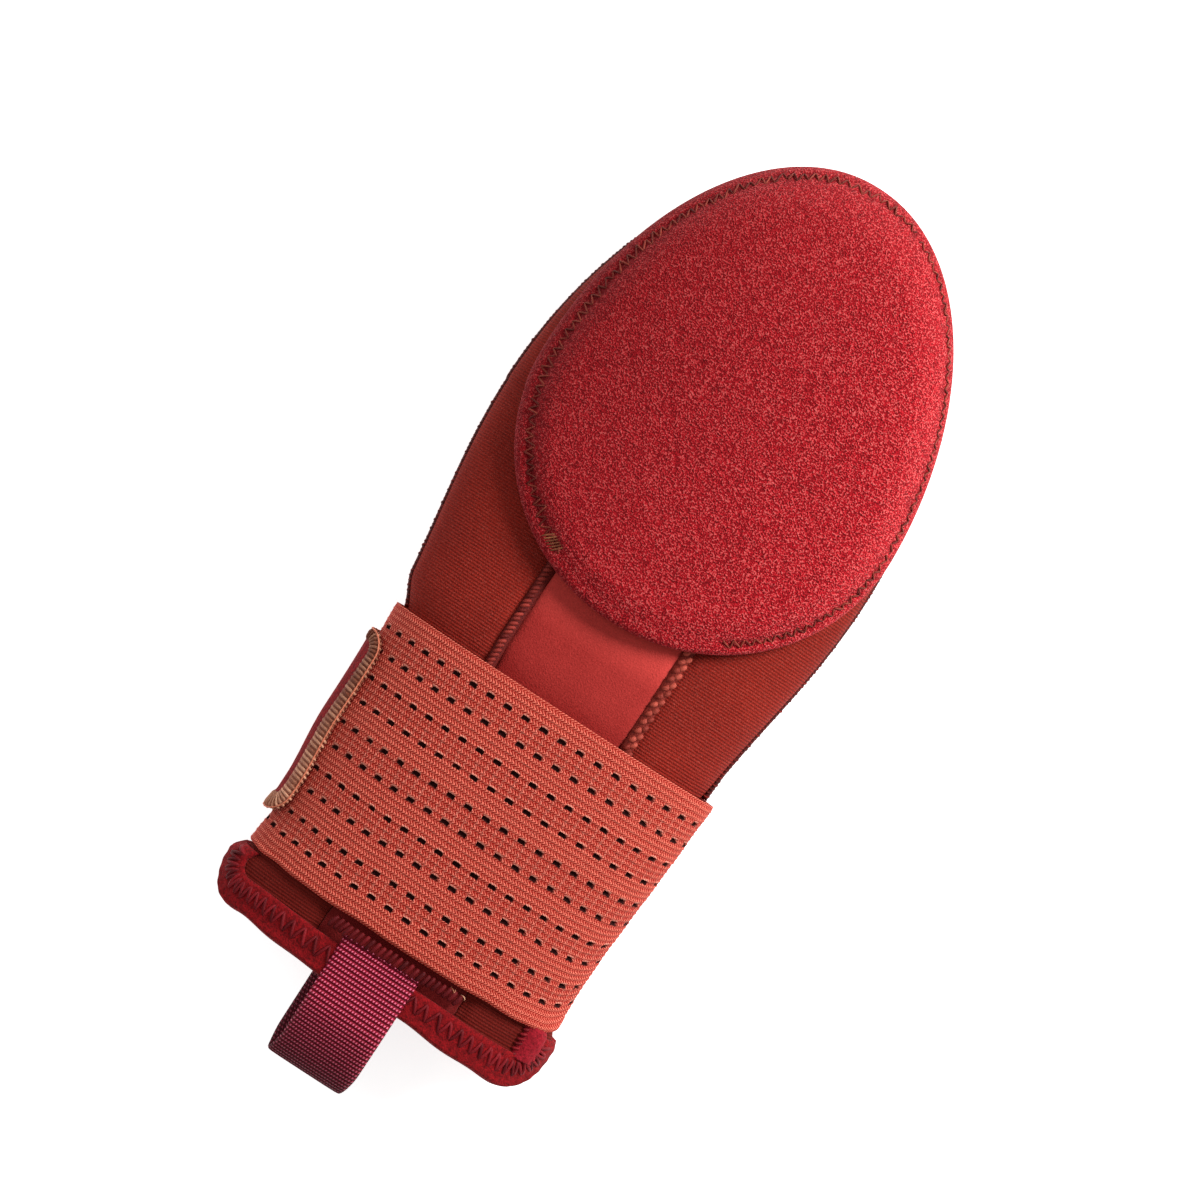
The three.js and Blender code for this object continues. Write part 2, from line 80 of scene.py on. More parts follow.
def smooth_noise(shape: tuple[int, int], cells: float, seed: int) -> Array:
    """Return seeded noise between about -1 and 1 with lumps a number of grid cells across.

    White noise is blurred by a Gaussian of that width, as a product of Fourier transforms.

    Args:
        shape: Rows and columns of the grid.
        cells: Width of a lump, in cells.
        seed: Seed of the noise.

    Returns:
        A grid of values with a standard deviation of 0.5.
    """
    white = np.random.default_rng(seed).standard_normal(shape)
    rows = np.fft.fftfreq(shape[0])[:, None]
    columns = np.fft.rfftfreq(shape[1])[None, :]
    blur = np.exp(-2.0 * (np.pi * cells / 2.0) ** 2 * (rows**2 + columns**2))
    lumps = np.fft.irfft2(np.fft.rfft2(white) * blur, s=shape)
    return 0.5 * lumps / lumps.std()


def run_along(line: Array) -> Array:
    """Return the length of a line of points up to each of them."""
    return np.concatenate([[0.0], np.cumsum(np.linalg.norm(np.diff(line, axis=0), axis=1))])


def evenly(line: Array, steps: int) -> tuple[Array, Array]:
    """Return points at even runs along a line in a plane, and the run at each."""
    run = run_along(line)
    at = np.linspace(0.0, run[-1], steps)
    return np.stack([np.interp(at, run, line[:, axis]) for axis in (0, 1)], axis=1), at


def legs(knots: Array, sides: Array, steps: int) -> tuple[Array, Array, Array]:
    """Return a zigzag's legs from knot to knot: the share of each point, its run and its side."""
    share = np.linspace(0.0, 1.0, steps)[None, :]
    run, side = (mix(ends[:-1, None], ends[1:, None], share) for ends in (knots, sides))
    return share, run, side


@dataclass
class Solid:
    """A mesh in the making.

    Attributes:
        points: Places in millimetres, one row each.
        faces: Arrays of vertex numbers, one row a face.
        values: Named values of the points, which a finish reads.
    """

    points: Array
    faces: list[Array]
    values: dict[str, Array] = field(default_factory=dict)

    def shaded(self, shade: float) -> "Solid":
        """Return this solid with one shade of thread all over."""
        return Solid(self.points, self.faces, {"thread": np.full(len(self.points), shade)})

    def joined(self, other: "Solid") -> "Solid":
        """Return this solid and another one as one mesh, with the values that both have."""
        shift = len(self.points)
        values = {
            name: np.concatenate([mine, other.values[name]])
            for name, mine in self.values.items()
            if name in other.values
        }
        faces = self.faces + [face + shift for face in other.faces]
        return Solid(np.concatenate([self.points, other.points]), faces, values)


def grid_quads(rows: int, columns: int, start: int = 0, goes_round: bool = False) -> Array:
    """Return the quads of a grid whose points are numbered row by row.

    Args:
        rows: Rows of points.
        columns: Columns of points.
        start: Number of the first point.
        goes_round: Whether the last column joins the first.

    Returns:
        Four vertex numbers a quad.
    """
    last = columns if goes_round else columns - 1
    row, column = np.meshgrid(np.arange(rows - 1), np.arange(last), indexing="ij")
    beside = (column + 1) % columns
    corners = [row * columns + column, row * columns + beside, (row + 1) * columns + beside]
    corners.append((row + 1) * columns + column)
    return start + np.stack([corner.ravel() for corner in corners], axis=1)


def closed_band(outer: Array, inner: Array) -> Solid:
    """Return a cloth with two faces, closed round its four sides.

    Both faces are grids with the same columns, across any number of rows. Their first and last rows are
    joined by quads and their ends by one face each.

    Args:
        outer: Grid of points, rows by columns by 3.
        inner: Grid of points with as many columns.

    Returns:
        The closed cloth.
    """
    rows, columns = outer.shape[:2]
    inner_rows = inner.shape[0]
    start = rows * columns
    top = np.arange(start).reshape(rows, columns)
    under = start + np.arange(inner_rows * columns).reshape(inner_rows, columns)
    sides = [
        np.stack([top[r, :-1], top[r, 1:], under[q, 1:], under[q, :-1]], axis=1)
        for r, q in ((0, 0), (-1, -1))
    ]
    ends = [np.concatenate([top[:, c], under[::-1, c]])[None, :] for c in (0, -1)]
    points = np.concatenate([outer.reshape(-1, 3), inner.reshape(-1, 3)])
    quads = [grid_quads(rows, columns), grid_quads(inner_rows, columns, start)]
    return Solid(points, [*quads, *sides, *ends])


def swept(rings: Array, goes_round: bool = False) -> Solid:
    """Return closed sections carried along a path.

    Args:
        rings: Sections by points by 3.
        goes_round: Whether the last section joins the first; otherwise both ends are closed.

    Returns:
        The closed body.
    """
    count, around = rings.shape[:2]
    along = np.concatenate([rings, rings[:1]]) if goes_round else rings
    quads = grid_quads(len(along), around, goes_round=True)
    faces = [quads % (count * around)]
    if not goes_round:
        faces += [np.arange(around)[None, :], (np.arange(around) + (count - 1) * around)[None, :]]
    return Solid(rings.reshape(-1, 3), faces)


def threads(paths: Array, radius: float, sides: int = 6, flat: float = 1.0, blunt: float = 0.5) -> Solid:
    """Return round threads along many paths at once.

    A ring's points are path + radius * (cos a * side + flat * sin a * lift), where side is square to the
    path and level, and lift is square to both. The ends are narrower.

    Args:
        paths: Threads by points by 3.
        radius: Half the thread's thickness.
        sides: Points in a ring.
        flat: Height of the thread's section as a share of its width.
        blunt: Width of the thread's ends as a share of its middle.

    Returns:
        One mesh with a closed tube for each path, and the value "thread", a random shade for each.
    """
    paths = np.asarray(paths, float)
    count, steps = paths.shape[:2]
    along = unit(np.gradient(paths, axis=1))
    side = unit(np.cross(along, np.array([0.03, 0.05, 1.0])))
    lift = np.cross(side, along)
    angles = 2.0 * np.pi * np.arange(sides) / sides
    share = np.linspace(-1.0, 1.0, steps)
    width = radius * mix(blunt, 1.0, np.sqrt(1.0 - share**4))[None, :, None, None]
    across = np.cos(angles)[:, None] * side[:, :, None, :]
    across = across + flat * np.sin(angles)[:, None] * lift[:, :, None, :]
    points = paths[:, :, None, :] + width * across
    first = (np.arange(count) * steps * sides)[:, None, None]
    quads = (first + grid_quads(steps, sides, goes_round=True)[None]).reshape(-1, 4)
    cap = first[:, 0] + np.arange(sides)[None, :]
    shade = np.random.default_rng(count).random(count)
    value = np.broadcast_to(shade[:, None, None], points.shape[:3])
    faces = [quads, cap, cap + (steps - 1) * sides]
    return Solid(points.reshape(-1, 3), faces, {"thread": value.ravel()})


@dataclass(frozen=True)
class Pocket:
    """The sewn pocket's sections, with the sizes of the model it dresses, in millimetres.

    Attributes:
        left_pull: How far the left side moves to the right at the cuff, and then for each smooth step
            along y how much that gains, and where it begins and ends.
        right_pull: The same for the right side.
        full_pull_at: The x that moves by the whole pull.
    """

    length: float = 273.0
    knuckles: float = 123.0
    wrist: float = 105.0
    flare: float = 1.2
    wrist_top: float = 35.5
    finger_top: float = 27.5
    seam_heights: tuple[float, float, float] = (17.0, 12.5, 10.5)
    neoprene: float = 3.0
    clearance: float = 0.3
    centre_width: float = 47.2
    centre_shift: float = 2.8
    widest_at: float = 0.625
    wrist_at: float = 0.31
    rounds_from: float = 0.7
    across_powers: tuple[float, float] = (2.4, 3.4)
    up_powers: tuple[float, float] = (2.0, 2.3)
    flat_share: float = 0.55
    arc_share: float = 0.3
    strap_from: float = 18.5
    strap_to: float = 98.5
    strap_thickness: float = 2.0
    hem_wave: float = 0.8
    hem_wave_length: float = 54.0
    full_pull_at: float = 54.0
    left_pull: tuple = (0.6, ((-0.8, 3, 10), (5.4, 13, 20), (0.6, 20, 29), (-2.3, 29, 62), (-3.3, 97, 109)))
    right_pull: tuple = (1.8, ((-4.6, 14, 25), (3.2, 25, 98), (-0.4, 98, 109)))

    @property
    def widest_y(self) -> float:
        """Return the station of the greatest width."""
        return self.widest_at * self.length

    @property
    def wrist_y(self) -> float:
        """Return the station of the wrist."""
        return self.wrist_at * self.length

    @property
    def reach(self) -> float:
        """Return the length from the greatest width to the fingertip."""
        return self.length - self.widest_y

    @property
    def seams(self) -> tuple[float, float]:
        """Return the x of the two seams beside the centre panel."""
        return self.centre_shift - self.centre_width / 2, self.centre_shift + self.centre_width / 2

    @property
    def shift_y(self) -> float:
        """Return how far the frame's origin lies from the cuff's edge."""
        return self.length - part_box("back_panel")[1].y / MM

    def half_width(self, y: Array, offset: Array = 0.0) -> Array:
        """Return half the width: a cosine taper to the wrist, and half an ellipse at the tip."""
        widest = self.knuckles / 2 + offset
        past = np.clip((y - self.widest_y) / self.reach, 0.0, 1.0)
        before = np.clip((self.widest_y - y) / (self.widest_y - self.wrist_y), 0, 1)
        taper = (1 + np.cos(np.pi * before)) / 2
        flare = self.flare * (1 - ease_between(y, 0, self.strap_to / 2))
        body = mix(self.wrist / 2 + offset, widest, taper) + flare
        return np.where(y >= self.widest_y, widest * np.sqrt(1.0 - past**2), body)

    def heights(self, y: Array) -> tuple[Array, Array, Array]:
        """Return the heights of the side seam, the top and the bottom at a station."""
        rounds_y = self.rounds_from * self.length
        wrist, fingers, tip = self.seam_heights
        seam = mix(wrist, fingers, ease_between(y, self.wrist_y, self.widest_y))
        seam = mix(seam, tip, ease_between(y, self.widest_y, self.length))
        top = mix(self.wrist_top, self.finger_top, ease_between(y, self.wrist_y, rounds_y))
        lift = self.clearance + self.strap_thickness
        bottom = lift * (1 - ease_between(y, self.strap_to, self.strap_to + 8 * self.neoprene))
        return seam, top, bottom

    def fullness(self, y: Array) -> Array:
        """Return the share of the full height, (1 - t^3)^0.5 where the tip rounds off."""
        past = np.clip((y / self.length - self.rounds_from) / (1 - self.rounds_from), 0.0, 1.0)
        return np.sqrt(1.0 - past**3)

    def powers(self, y: Array) -> tuple[Array, Array]:
        """Return the two exponents of the top's section at a station."""
        boxy = ease_between(y, self.wrist_y, self.widest_y)
        return mix(*self.across_powers, boxy), mix(*self.up_powers, boxy)

    def skin(self, is_top: Array, y: Array, turn: Array, offset: Array) -> Array:
        """Return points of the skin, moved outwards.

        The top is a superellipse, across = -|cos a|^(2/p) with its sign and up = (sin a)^(2/q), with
        a = pi * turn. The bottom is flat in the middle, with a quarter of an ellipse at each side.

        Args:
            is_top: Whether a point is on the top skin.
            y: Station, from the cuff.
            turn: 0 at the left seam and 1 at the right.
            offset: How far outwards.

        Returns:
            Points of the inputs' shape, by 3.
        """
        is_top, y, turn, offset = np.broadcast_arrays(is_top, y, turn, offset)
        y = y.astype(float)
        seam, top, bottom = self.heights(y)
        across_power, up_power = self.powers(y)
        angle = np.pi * turn
        side = np.cos(angle)
        top_across = -np.sign(side) * np.abs(side) ** (2 / across_power)
        top_up = np.maximum(np.sin(angle), 0.0) ** (2 / up_power)
        from_side = np.minimum(turn, 1 - turn)
        corner = np.clip(from_side / self.arc_share, 0, 1) * np.pi / 2
        round_across = np.sign(turn - 0.5) * mix(self.flat_share, 1.0, np.cos(corner))
        flat_across = self.flat_share * (turn - 0.5) / (0.5 - self.arc_share)
        low_across = np.where(from_side >= self.arc_share, flat_across, round_across)
        across = np.where(is_top, top_across, low_across)
        up = np.where(is_top, top_up, -np.sin(corner))
        tall = np.where(is_top, top - seam, seam - bottom) - self.clearance / 2 + offset
        x = self.half_width(y, offset) * across
        past = np.maximum(y - self.widest_y, 0.0)
        along = np.minimum(y, self.widest_y) + past * (self.reach + offset) / self.reach
        wave = self.hem_wave * np.sin(2 * np.pi * x / self.hem_wave_length)
        gap = np.where(is_top, 1.0, -1.0) * self.clearance / 2
        z = seam + gap + up * tall * self.fullness(y)
        return np.stack([x, along + wave * (1 - ease_between(y, 0, self.strap_from)), z], axis=-1)

    def turn_at(self, y: Array, x: Array) -> Array:
        """Return the top's turn at an x: the inverse of the superellipse's across."""
        across = np.clip(-x / np.maximum(self.half_width(y), 1e-6), -1.0, 1.0)
        cosine = np.sign(across) * np.abs(across) ** (self.powers(y)[0] / 2)
        return np.arccos(cosine) / np.pi

    def on_top(self, x: Array, y: Array, offset: Array = 0.0) -> Array:
        """Return the places over points of the top skin, moved outwards."""
        return self.skin(True, y, self.turn_at(y, x), offset)

    def drawn_in(self, points: Array) -> Array:
        """Return points moved as the strap draws the wrist in and the hem flares out below it.

        x gains pull(y) * (x / full)^2, where pull is a sum of smooth steps, one sum for each side.
        """
        x, y, z = points.T
        left, right = (
            start + sum(gain * ease_between(y, low, high) for gain, low, high in steps)
            for start, steps in (self.left_pull, self.right_pull)
        )
        pull = np.where(x < 0, left, right) * (x / self.full_pull_at) ** 2
        return np.stack([x + pull * (y < self.widest_y), y, z], axis=1)

    def turn_at_length(self, is_top: bool, y: Array, length: Array) -> Array:
        """Return the turn at a length along the section from the left seam, read from a table.

        Args:
            is_top: Whether on the top skin.
            y: Stations, one axis.
            length: Length for each station.

        Returns:
            A turn for each station.
        """
        count = 240
        turns = np.linspace(0.0, 1.0, count + 1)
        points = self.skin(is_top, np.asarray(y, float)[:, None], turns[None, :], 0.0)
        steps = np.linalg.norm(np.diff(points[..., [0, 2]], axis=1), axis=-1)
        run = np.concatenate([np.zeros((len(points), 1)), np.cumsum(steps, axis=1)], axis=1)
        after = np.clip((run < np.asarray(length)[:, None]).sum(axis=1), 1, count)
        rows = np.arange(len(run))
        low, high = run[rows, after - 1], run[rows, after]
        share = np.clip((length - low) / np.maximum(high - low, 1e-9), 0, 1)
        return (after - 1 + share) / count


POCKET = Pocket()


class Wire:
    """A socket of a shader tree. Arithmetic on it adds Math nodes."""

    def __init__(self, tree: "Tree", socket: bpy.types.NodeSocket):
        """Keep the tree and the socket."""
        self.tree = tree
        self.socket = socket

    def math(self, operation: str, *others: "Wire | float") -> "Wire":
        """Return this value put through a Math node with the others."""
        node = self.tree.add("ShaderNodeMath", {"operation": operation}, [self, *others])
        return Wire(self.tree, node.outputs[0])

    def __add__(self, other: "Wire | float") -> "Wire":
        """Add."""
        return self.math("ADD", other)

    __radd__ = __add__

    def __mul__(self, other: "Wire | float") -> "Wire":
        """Multiply."""
        return self.math("MULTIPLY", other)

    __rmul__ = __mul__

    def __sub__(self, other: "Wire | float") -> "Wire":
        """Subtract."""
        return self.math("SUBTRACT", other)

    def __rsub__(self, other: float) -> "Wire":
        """Subtract this from a number."""
        return self.math("MULTIPLY_ADD", -1.0, other)

    def __truediv__(self, other: "Wire | float") -> "Wire":
        """Divide."""
        return self.math("DIVIDE", other)

    def wave(self, pitch: float) -> "Wire":
        """Return a cosine between 0 and 1 with a crest at every whole pitch."""
        return (self * (2 * np.pi / pitch)).math("COSINE") * 0.5 + 0.5

    def band(self, low: float, high: float) -> "Wire":
        """Return 0 below low, 1 above high and a straight rise between them."""
        span = {"interpolation_type": "LINEAR"}
        inputs = {"Value": self, "From Min": low, "From Max": high}
        return Wire(self.tree, self.tree.add("ShaderNodeMapRange", span, inputs).outputs[0])


Colour = tuple[float, float, float]


def linear(code: str) -> Colour:
    """Return the linear colour of a six-figure hexadecimal code."""
    parts = [int(code[i : i + 2], 16) / 255 for i in (0, 2, 4)]
    return tuple(p / 12.92 if p <= 0.04045 else ((p + 0.055) / 1.055) ** 2.4 for p in parts)


class Tree:
    """A material's nodes."""

    def __init__(self, name: str):
        """Start a material with a Principled shader."""
        self.material = bpy.data.materials.new(name)
        self.material.use_nodes = True
        self.nodes = self.material.node_tree.nodes
        self.shader = self.nodes["Principled BSDF"]

    def add(
        self, kind: str, settings: dict | None = None, inputs: dict | list | None = None
    ) -> bpy.types.Node:
        """Add a node, set its settings first, and then its sockets.

        Args:
            kind: The node's type.
            settings: Its properties.
            inputs: Values or wires, by name or in order.

        Returns:
            The node.
        """
        node = self.nodes.new(kind)
        for name, value in (settings or {}).items():
            setattr(node, name, value)
        pairs = inputs.items() if isinstance(inputs, dict) else enumerate(inputs or [])
        for key, value in pairs:
            self.join(node.inputs[key], value)
        return node

    def join(self, socket: bpy.types.NodeSocket, value: "Wire | float | Colour") -> None:
        """Link a wire to a socket, or set its value."""
        if isinstance(value, Wire):
            self.material.node_tree.links.new(value.socket, socket)
        elif isinstance(value, tuple) and socket.type == "RGBA":
            socket.default_value = (*value, 1.0)
        else:
            socket.default_value = value

    def value(self, name: str) -> Wire:
        """Return the piece's own value of that name."""
        node = self.add("ShaderNodeAttribute", {"attribute_name": name})
        return Wire(self, node.outputs["Fac"])

    def place(self) -> Wire:
        """Return the place on the object, in metres."""
        return Wire(self, self.add("ShaderNodeTexCoord").outputs["Object"])

    def axes(self, vector: Wire) -> tuple[Wire, Wire, Wire]:
        """Return the three numbers of a vector."""
        node = self.add("ShaderNodeSeparateXYZ", inputs=[vector])
        return tuple(Wire(self, output) for output in node.outputs)

    def noise(self, size_mm: float, detail: float = 2.0) -> Wire:
        """Return noise from 0 to 1 with lumps of about a size."""
        inputs = {"Vector": self.place(), "Scale": 1.0 / (size_mm * MM), "Detail": detail}
        return Wire(self, self.add("ShaderNodeTexNoise", inputs=inputs).outputs[0])

    def blend(self, share: "Wire | float", first: "Wire | Colour", second: "Wire | Colour") -> Wire:
        """Return a colour a share of the way from the first to the second."""
        node = self.add("ShaderNodeMix", {"data_type": "RGBA"})
        for socket, value in zip((node.inputs[0], node.inputs[6], node.inputs[7]), (share, first, second)):
            self.join(socket, value)
        return Wire(self, node.outputs[2])

    def finish(self, colour: Wire, height: Wire, depth_mm: float, rough: float, **plain: float) -> None:
        """Connect the colour, the relief and the roughness, and set the plain sockets.

        Args:
            colour: Base colour.
            height: Relief from 0 to 1.
            depth_mm: What a height of 1 stands for.
            rough: Roughness.
            **plain: Other sockets of the shader, with spaces for underscores.
        """
        relief = {"Height": height, "Strength": 1.0, "Distance": depth_mm * MM}
        bump = self.add("ShaderNodeBump", inputs=relief)
        self.join(self.shader.inputs["Specular IOR Level"], 0.15)
        self.join(self.shader.inputs["Base Color"], colour)
        self.join(self.shader.inputs["Normal"], Wire(self, bump.outputs[0]))
        self.join(self.shader.inputs["Roughness"], rough)
        for name, value in plain.items():
            self.join(self.shader.inputs[name.replace("_", " ").title()], value)


@dataclass(frozen=True)
class RibbedKnit:
    """Matt knitted face with fine ribs across the mitt."""

    name: str
    dark: str = "4f0a06"
    light: str = "a3281a"
    # Colour of the painted shade towards the cuff.
    cuff_shade: str = "450503"
    lint: str = "cc6a5c"
    pitch: float = 0.93

    def material(self) -> bpy.types.Material:
        """Return the finish: ribs of small stitches along x, with a slow mottle and light fibres.

        It is darker towards the cuff: painted shade, under and between the strap and the hem.
        """
        tree = Tree(self.name)
        x, y, _ = tree.axes(tree.place())
        wobble = tree.noise(9.0) * (0.5 * MM)
        rib = (y + wobble).wave(self.pitch * MM)
        stitch = (x + wobble + rib * (0.3 * MM)).wave(self.pitch * 0.9 * MM)
        knit = rib * 0.6 + rib * stitch * 0.4
        mottle = tree.noise(22.0, 3.0).band(0.3, 0.7)
        fuzz = tree.noise(0.5, 3.0).band(0.3, 0.7)
        unshaded = tree.blend(knit * 0.45 + mottle * 0.2 + fuzz * 0.35, linear(self.dark), linear(self.light))
        fibres = tree.noise(0.32, 1.0).band(0.52, 0.8) * 0.3
        linted = tree.blend(fibres, unshaded, linear(self.lint))
        # Painted shade: darker towards the cuff, where the knit lies under and between the strap and the
        # hem.
        clear_of_cuff_shade = (y + POCKET.shift_y * MM).band(16 * MM, 34 * MM) * 0.6 + 0.4
        colour = tree.blend(clear_of_cuff_shade, linear(self.cuff_shade), linted)
        tree.finish(colour, knit * 0.8 + fuzz * 0.2, 0.2, 0.9)
        return tree.material


@dataclass(frozen=True)
class PeachFuzz:
    """Soft face with a short nap, made by brushing."""

    name: str
    dark: str = "7e100e"
    light: str = "cc423c"
    # Colour of the painted shade between the strap and the cuff.
    cuff_shade: str = "6e0f10"

    def material(self) -> bpy.types.Material:
        """Return the finish: fine nap with soft clouds, and painted light towards the pad's mouth.

        Painted shade darkens it along the strap's edge and between the strap and the cuff, and painted
        light lightens its right side.
        """
        tree = Tree(self.name)
        nap = tree.noise(0.5, 3.0).band(0.3, 0.7)
        specks = tree.noise(0.3, 1.0).band(0.4, 0.75)
        cloud = tree.noise(16.0, 3.0).band(0.3, 0.7)
        x, y, _ = tree.axes(tree.place())
        from_cuff = y + POCKET.shift_y * MM
        # Painted light: lighter from 116 mm up to the pad's mouth, over the shade that the pad casts.
        raised = from_cuff.band(116 * MM, 128 * MM) * 0.7
        # Painted shade along the strap's top edge.
        strap_edge_shade = (1.0 - from_cuff.band(98 * MM, 108 * MM)) * 0.2
        # Painted light: lighter towards the right side, where the light falls.
        turned = x.band(-16 * MM, 26 * MM) * 0.16
        share = nap * 0.2 + specks * 0.2 + cloud * 0.12 + raised + turned - strap_edge_shade
        soft = tree.blend(share.band(0.0, 1.0), linear(self.dark), linear(self.light))
        # Painted shade between the strap and the cuff.
        colour = tree.blend(from_cuff.band(30 * MM, 45 * MM), linear(self.cuff_shade), soft)
        tree.finish(colour, nap, 0.12, 0.9, sheen_weight=0.12, sheen_roughness=0.6)
        tree.join(tree.shader.inputs["Sheen Tint"], (1.0, 0.5, 0.42))
        return tree.material


@dataclass(frozen=True)
class TerryPile:
    """Uncut loop pile: lumps in the mesh, and finer loops and specks in the finish."""

    name: str
    deep: str = "660108"
    mid: str = "8c0912"
    # A lighter mid red, painted on the right side as light.
    painted_lit_mid: str = "be1020"
    # Colour of the loops' light tops: painted highlights.
    tip: str = "f28c86"

    def material(self) -> bpy.types.Material:
        """Return the finish: deep red between the loops, and light loops about 1 mm apart over it.

        The loops' light tops are painted highlights; painted light adds more of them and a lighter red on
        the right.
        """
        tree = Tree(self.name)
        pile = tree.value("pile")
        loops = tree.noise(0.52, 0.0).band(0.34, 0.66)
        hairs = tree.noise(0.36, 1.0).band(0.3, 0.7)
        patch = tree.noise(3.0, 1.0) - 0.5
        level = loops * 0.6 + hairs * 0.4 + patch * 0.08
        # Painted shade: darker where the pile lies lower, most of all in the sewn groove.
        sunk = pile.band(-0.1, 0.35) * 0.55 + 0.45
        # Painted light: 0 on the left and 1 on the right, as light falls from the right.
        turned = tree.axes(tree.place())[0].band(-55 * MM, 60 * MM)
        mid = tree.blend(turned, linear(self.mid), linear(self.painted_lit_mid))
        body = tree.blend(level.band(0.05, 0.6) * sunk, linear(self.deep), mid)
        # Painted highlights on the loops' tops, more of them on the lit right side.
        tip_highlights = level.band(0.6, 0.95) * sunk * (turned * 0.32 + 0.18)
        colour = tree.blend(tip_highlights, body, linear(self.tip))
        tree.finish(colour, level, 0.35, 0.9, sheen_weight=0.08, sheen_roughness=0.5)
        tree.join(tree.shader.inputs["Sheen Tint"], (1.0, 0.45, 0.45))
        return tree.material


@dataclass(frozen=True)
class WovenElastic:
    """Woven elastic: lengthwise ribs, rows of slots, and a ladder of light threads between them."""

    name: str
    groove: str = "98140b"
    crest: str = "f6806a"
    ladder: str = "f6a892"
    # Colour inside the slots: painted shade.
    slot: str = "2e0806"
    rib: float = 0.895
    slot_pitch: float = 6.1

    def material(self) -> bpy.types.Material:
        """Return the finish from the values run, fall, net, near and lag, all worked out on the mesh.

        Slanted dashes 1 mm apart lean one way on one rib and the other way on the next, so two ribs read
        as a row of arrowheads, with a darker line between rows. Light threads cross the bands between two
        rows of slots, twice a slot. A slot is painted dark with shade where (across / 1.35)^4 + (down /
        0.68)^4 is under 1, with its ends bent down.
        """
        tree = Tree(self.name)
        run = tree.value("run")
        fall = tree.value("fall")
        net = tree.value("net")
        wobble = tree.noise(1.6) - 0.5
        shaky = fall + wobble * 0.25
        rib = (shaky.wave(self.rib) * 0.3 + shaky.wave(2 * self.rib) * 0.7).band(0.02, 0.55)
        lean = fall.math("PINGPONG", self.rib)
        dash = (run + lean * 1.1 + wobble * 0.6).wave(1.0).band(0.15, 0.8)
        fine = tree.noise(0.4, 2.0).band(0.3, 0.7)
        knit = rib * 0.2 + dash * (rib * 0.55 + 0.2)
        cross = (run + wobble * 0.9 - 1.4).wave(self.slot_pitch / 2).band(0.75, 1.0) * net
        level = knit * 0.8 + fine * 0.25 - net * 0.08
        body = tree.blend(level.band(0.25, 0.95), linear(self.groove), linear(self.crest))
        lit = tree.blend(cross * fine * (dash * 0.25 + 0.15), body, linear(self.ladder))
        across = (run - tree.value("lag") + 50 * self.slot_pitch).math("PINGPONG", self.slot_pitch / 2)
        down = tree.value("near") - across * across * 0.16 + wobble * 0.3
        reach = (across / 1.35).math("POWER", 4.0) + (down / 0.68).math("ABSOLUTE").math("POWER", 4.0)
        closed = tree.noise(5.0, 1.0).band(0.6, 0.85)
        # Painted shade inside each slot.
        slot_shade = 1.0 - (reach + wobble + closed).band(0.7, 1.3)
        lip = (1.0 - ((down + 0.9) / 0.35).math("ABSOLUTE").band(0.5, 1.0)) * (1.0 - across.band(1.0, 1.4))
        edged = tree.blend(lip * 0.5, lit, linear(self.ladder))
        colour = tree.blend(slot_shade, edged, linear(self.slot))
        tree.finish(colour, knit * 0.7 + cross * 0.1 + fine * 0.1, 0.35, 0.8)
        return tree.material


@dataclass(frozen=True)
class BoundEdge:
    """Stretch binding with a low, flattened pile."""

    name: str
    dark: str = "420305"
    light: str = "9e1017"

    def material(self) -> bpy.types.Material:
        """Return the finish: flattened lumps of pile, lighter on top."""
        tree = Tree(self.name)
        lumps = tree.noise(1.1, 3.0)
        fine = tree.noise(0.5, 2.0)
        level = lumps * 0.5 + fine * 0.5
        colour = tree.blend(level.band(0.3, 0.7), linear(self.dark), linear(self.light))
        tree.finish(colour, level, 0.5, 0.9, sheen_weight=0.08, sheen_roughness=0.5)
        tree.join(tree.shader.inputs["Sheen Tint"], (1.0, 0.4, 0.4))
        return tree.material


@dataclass(frozen=True)
class Thread:
    """Sewing thread in two shades. Painted shade darkens it away from the cuff where a far shade is given.
    """

    name: str
    dark: str
    light: str
    # Colour of the painted shade away from the cuff, if any.
    far: str = ""
    far_from: float = 40.0
    far_to: float = 80.0
    gloss: float = 0.6

    def material(self) -> bpy.types.Material:
        """Return the finish: a shade for each stitch, with fine strands."""
        tree = Tree(self.name)
        strands = tree.noise(0.35, 2.0)
        share = tree.value("thread") * 0.45 + strands * 0.55
        colour = tree.blend(share.band(0.2, 0.8), linear(self.dark), linear(self.light))
        # Painted shade: the far shade darkens the thread away from the cuff.
        if self.far:
            from_cuff = tree.axes(tree.place())[1] + POCKET.shift_y * MM
            away = from_cuff.band(self.far_from * MM, self.far_to * MM)
            colour = tree.blend(away * (1.0 - share * 0.6), colour, linear(self.far))
        tree.finish(colour, strands, 0.15, self.gloss)
        return tree.material


@dataclass(frozen=True)
class Webbing:
    """Woven webbing with a satin sheen: a grid of raised threads."""

    name: str
    groove: str = "380009"
    crest: str = "cc123c"
    glint: str = "fb8fae"
    warp: float = 0.93
    weft: float = 1.43

    def material(self) -> bpy.types.Material:
        """Return the finish: dark between the threads, pink on the crest of each, by run and across.

        Painted shade darkens the webbing towards its fold, and its front leg is the first part of the run.
        """
        tree = Tree(self.name)
        run = tree.value("run")
        row = run.wave(self.weft).band(0.0, 0.8)
        column = (tree.value("across") + run * (0.36 / self.weft)).wave(self.warp).band(0.0, 0.8)
        strands = tree.noise(0.3, 2.0)
        crest = row * (column * 0.75 + 0.25)
        # Painted shade: the share left unshaded, 1 up to a run of 18 mm and 0.22 from 44 mm on, towards the
        # fold.
        unshaded = 1.0 - run.band(18.0, 44.0) * 0.78
        body = tree.blend((crest * 0.9 + strands * 0.2) * unshaded, linear(self.groove), linear(self.crest))
        shine = (crest + strands * 0.3).band(0.75, 1.2) * unshaded * 0.75
        colour = tree.blend(shine, body, linear(self.glint))
        tree.finish(colour, crest * 0.85 + strands * 0.15, 0.35, 0.5)
        return tree.material


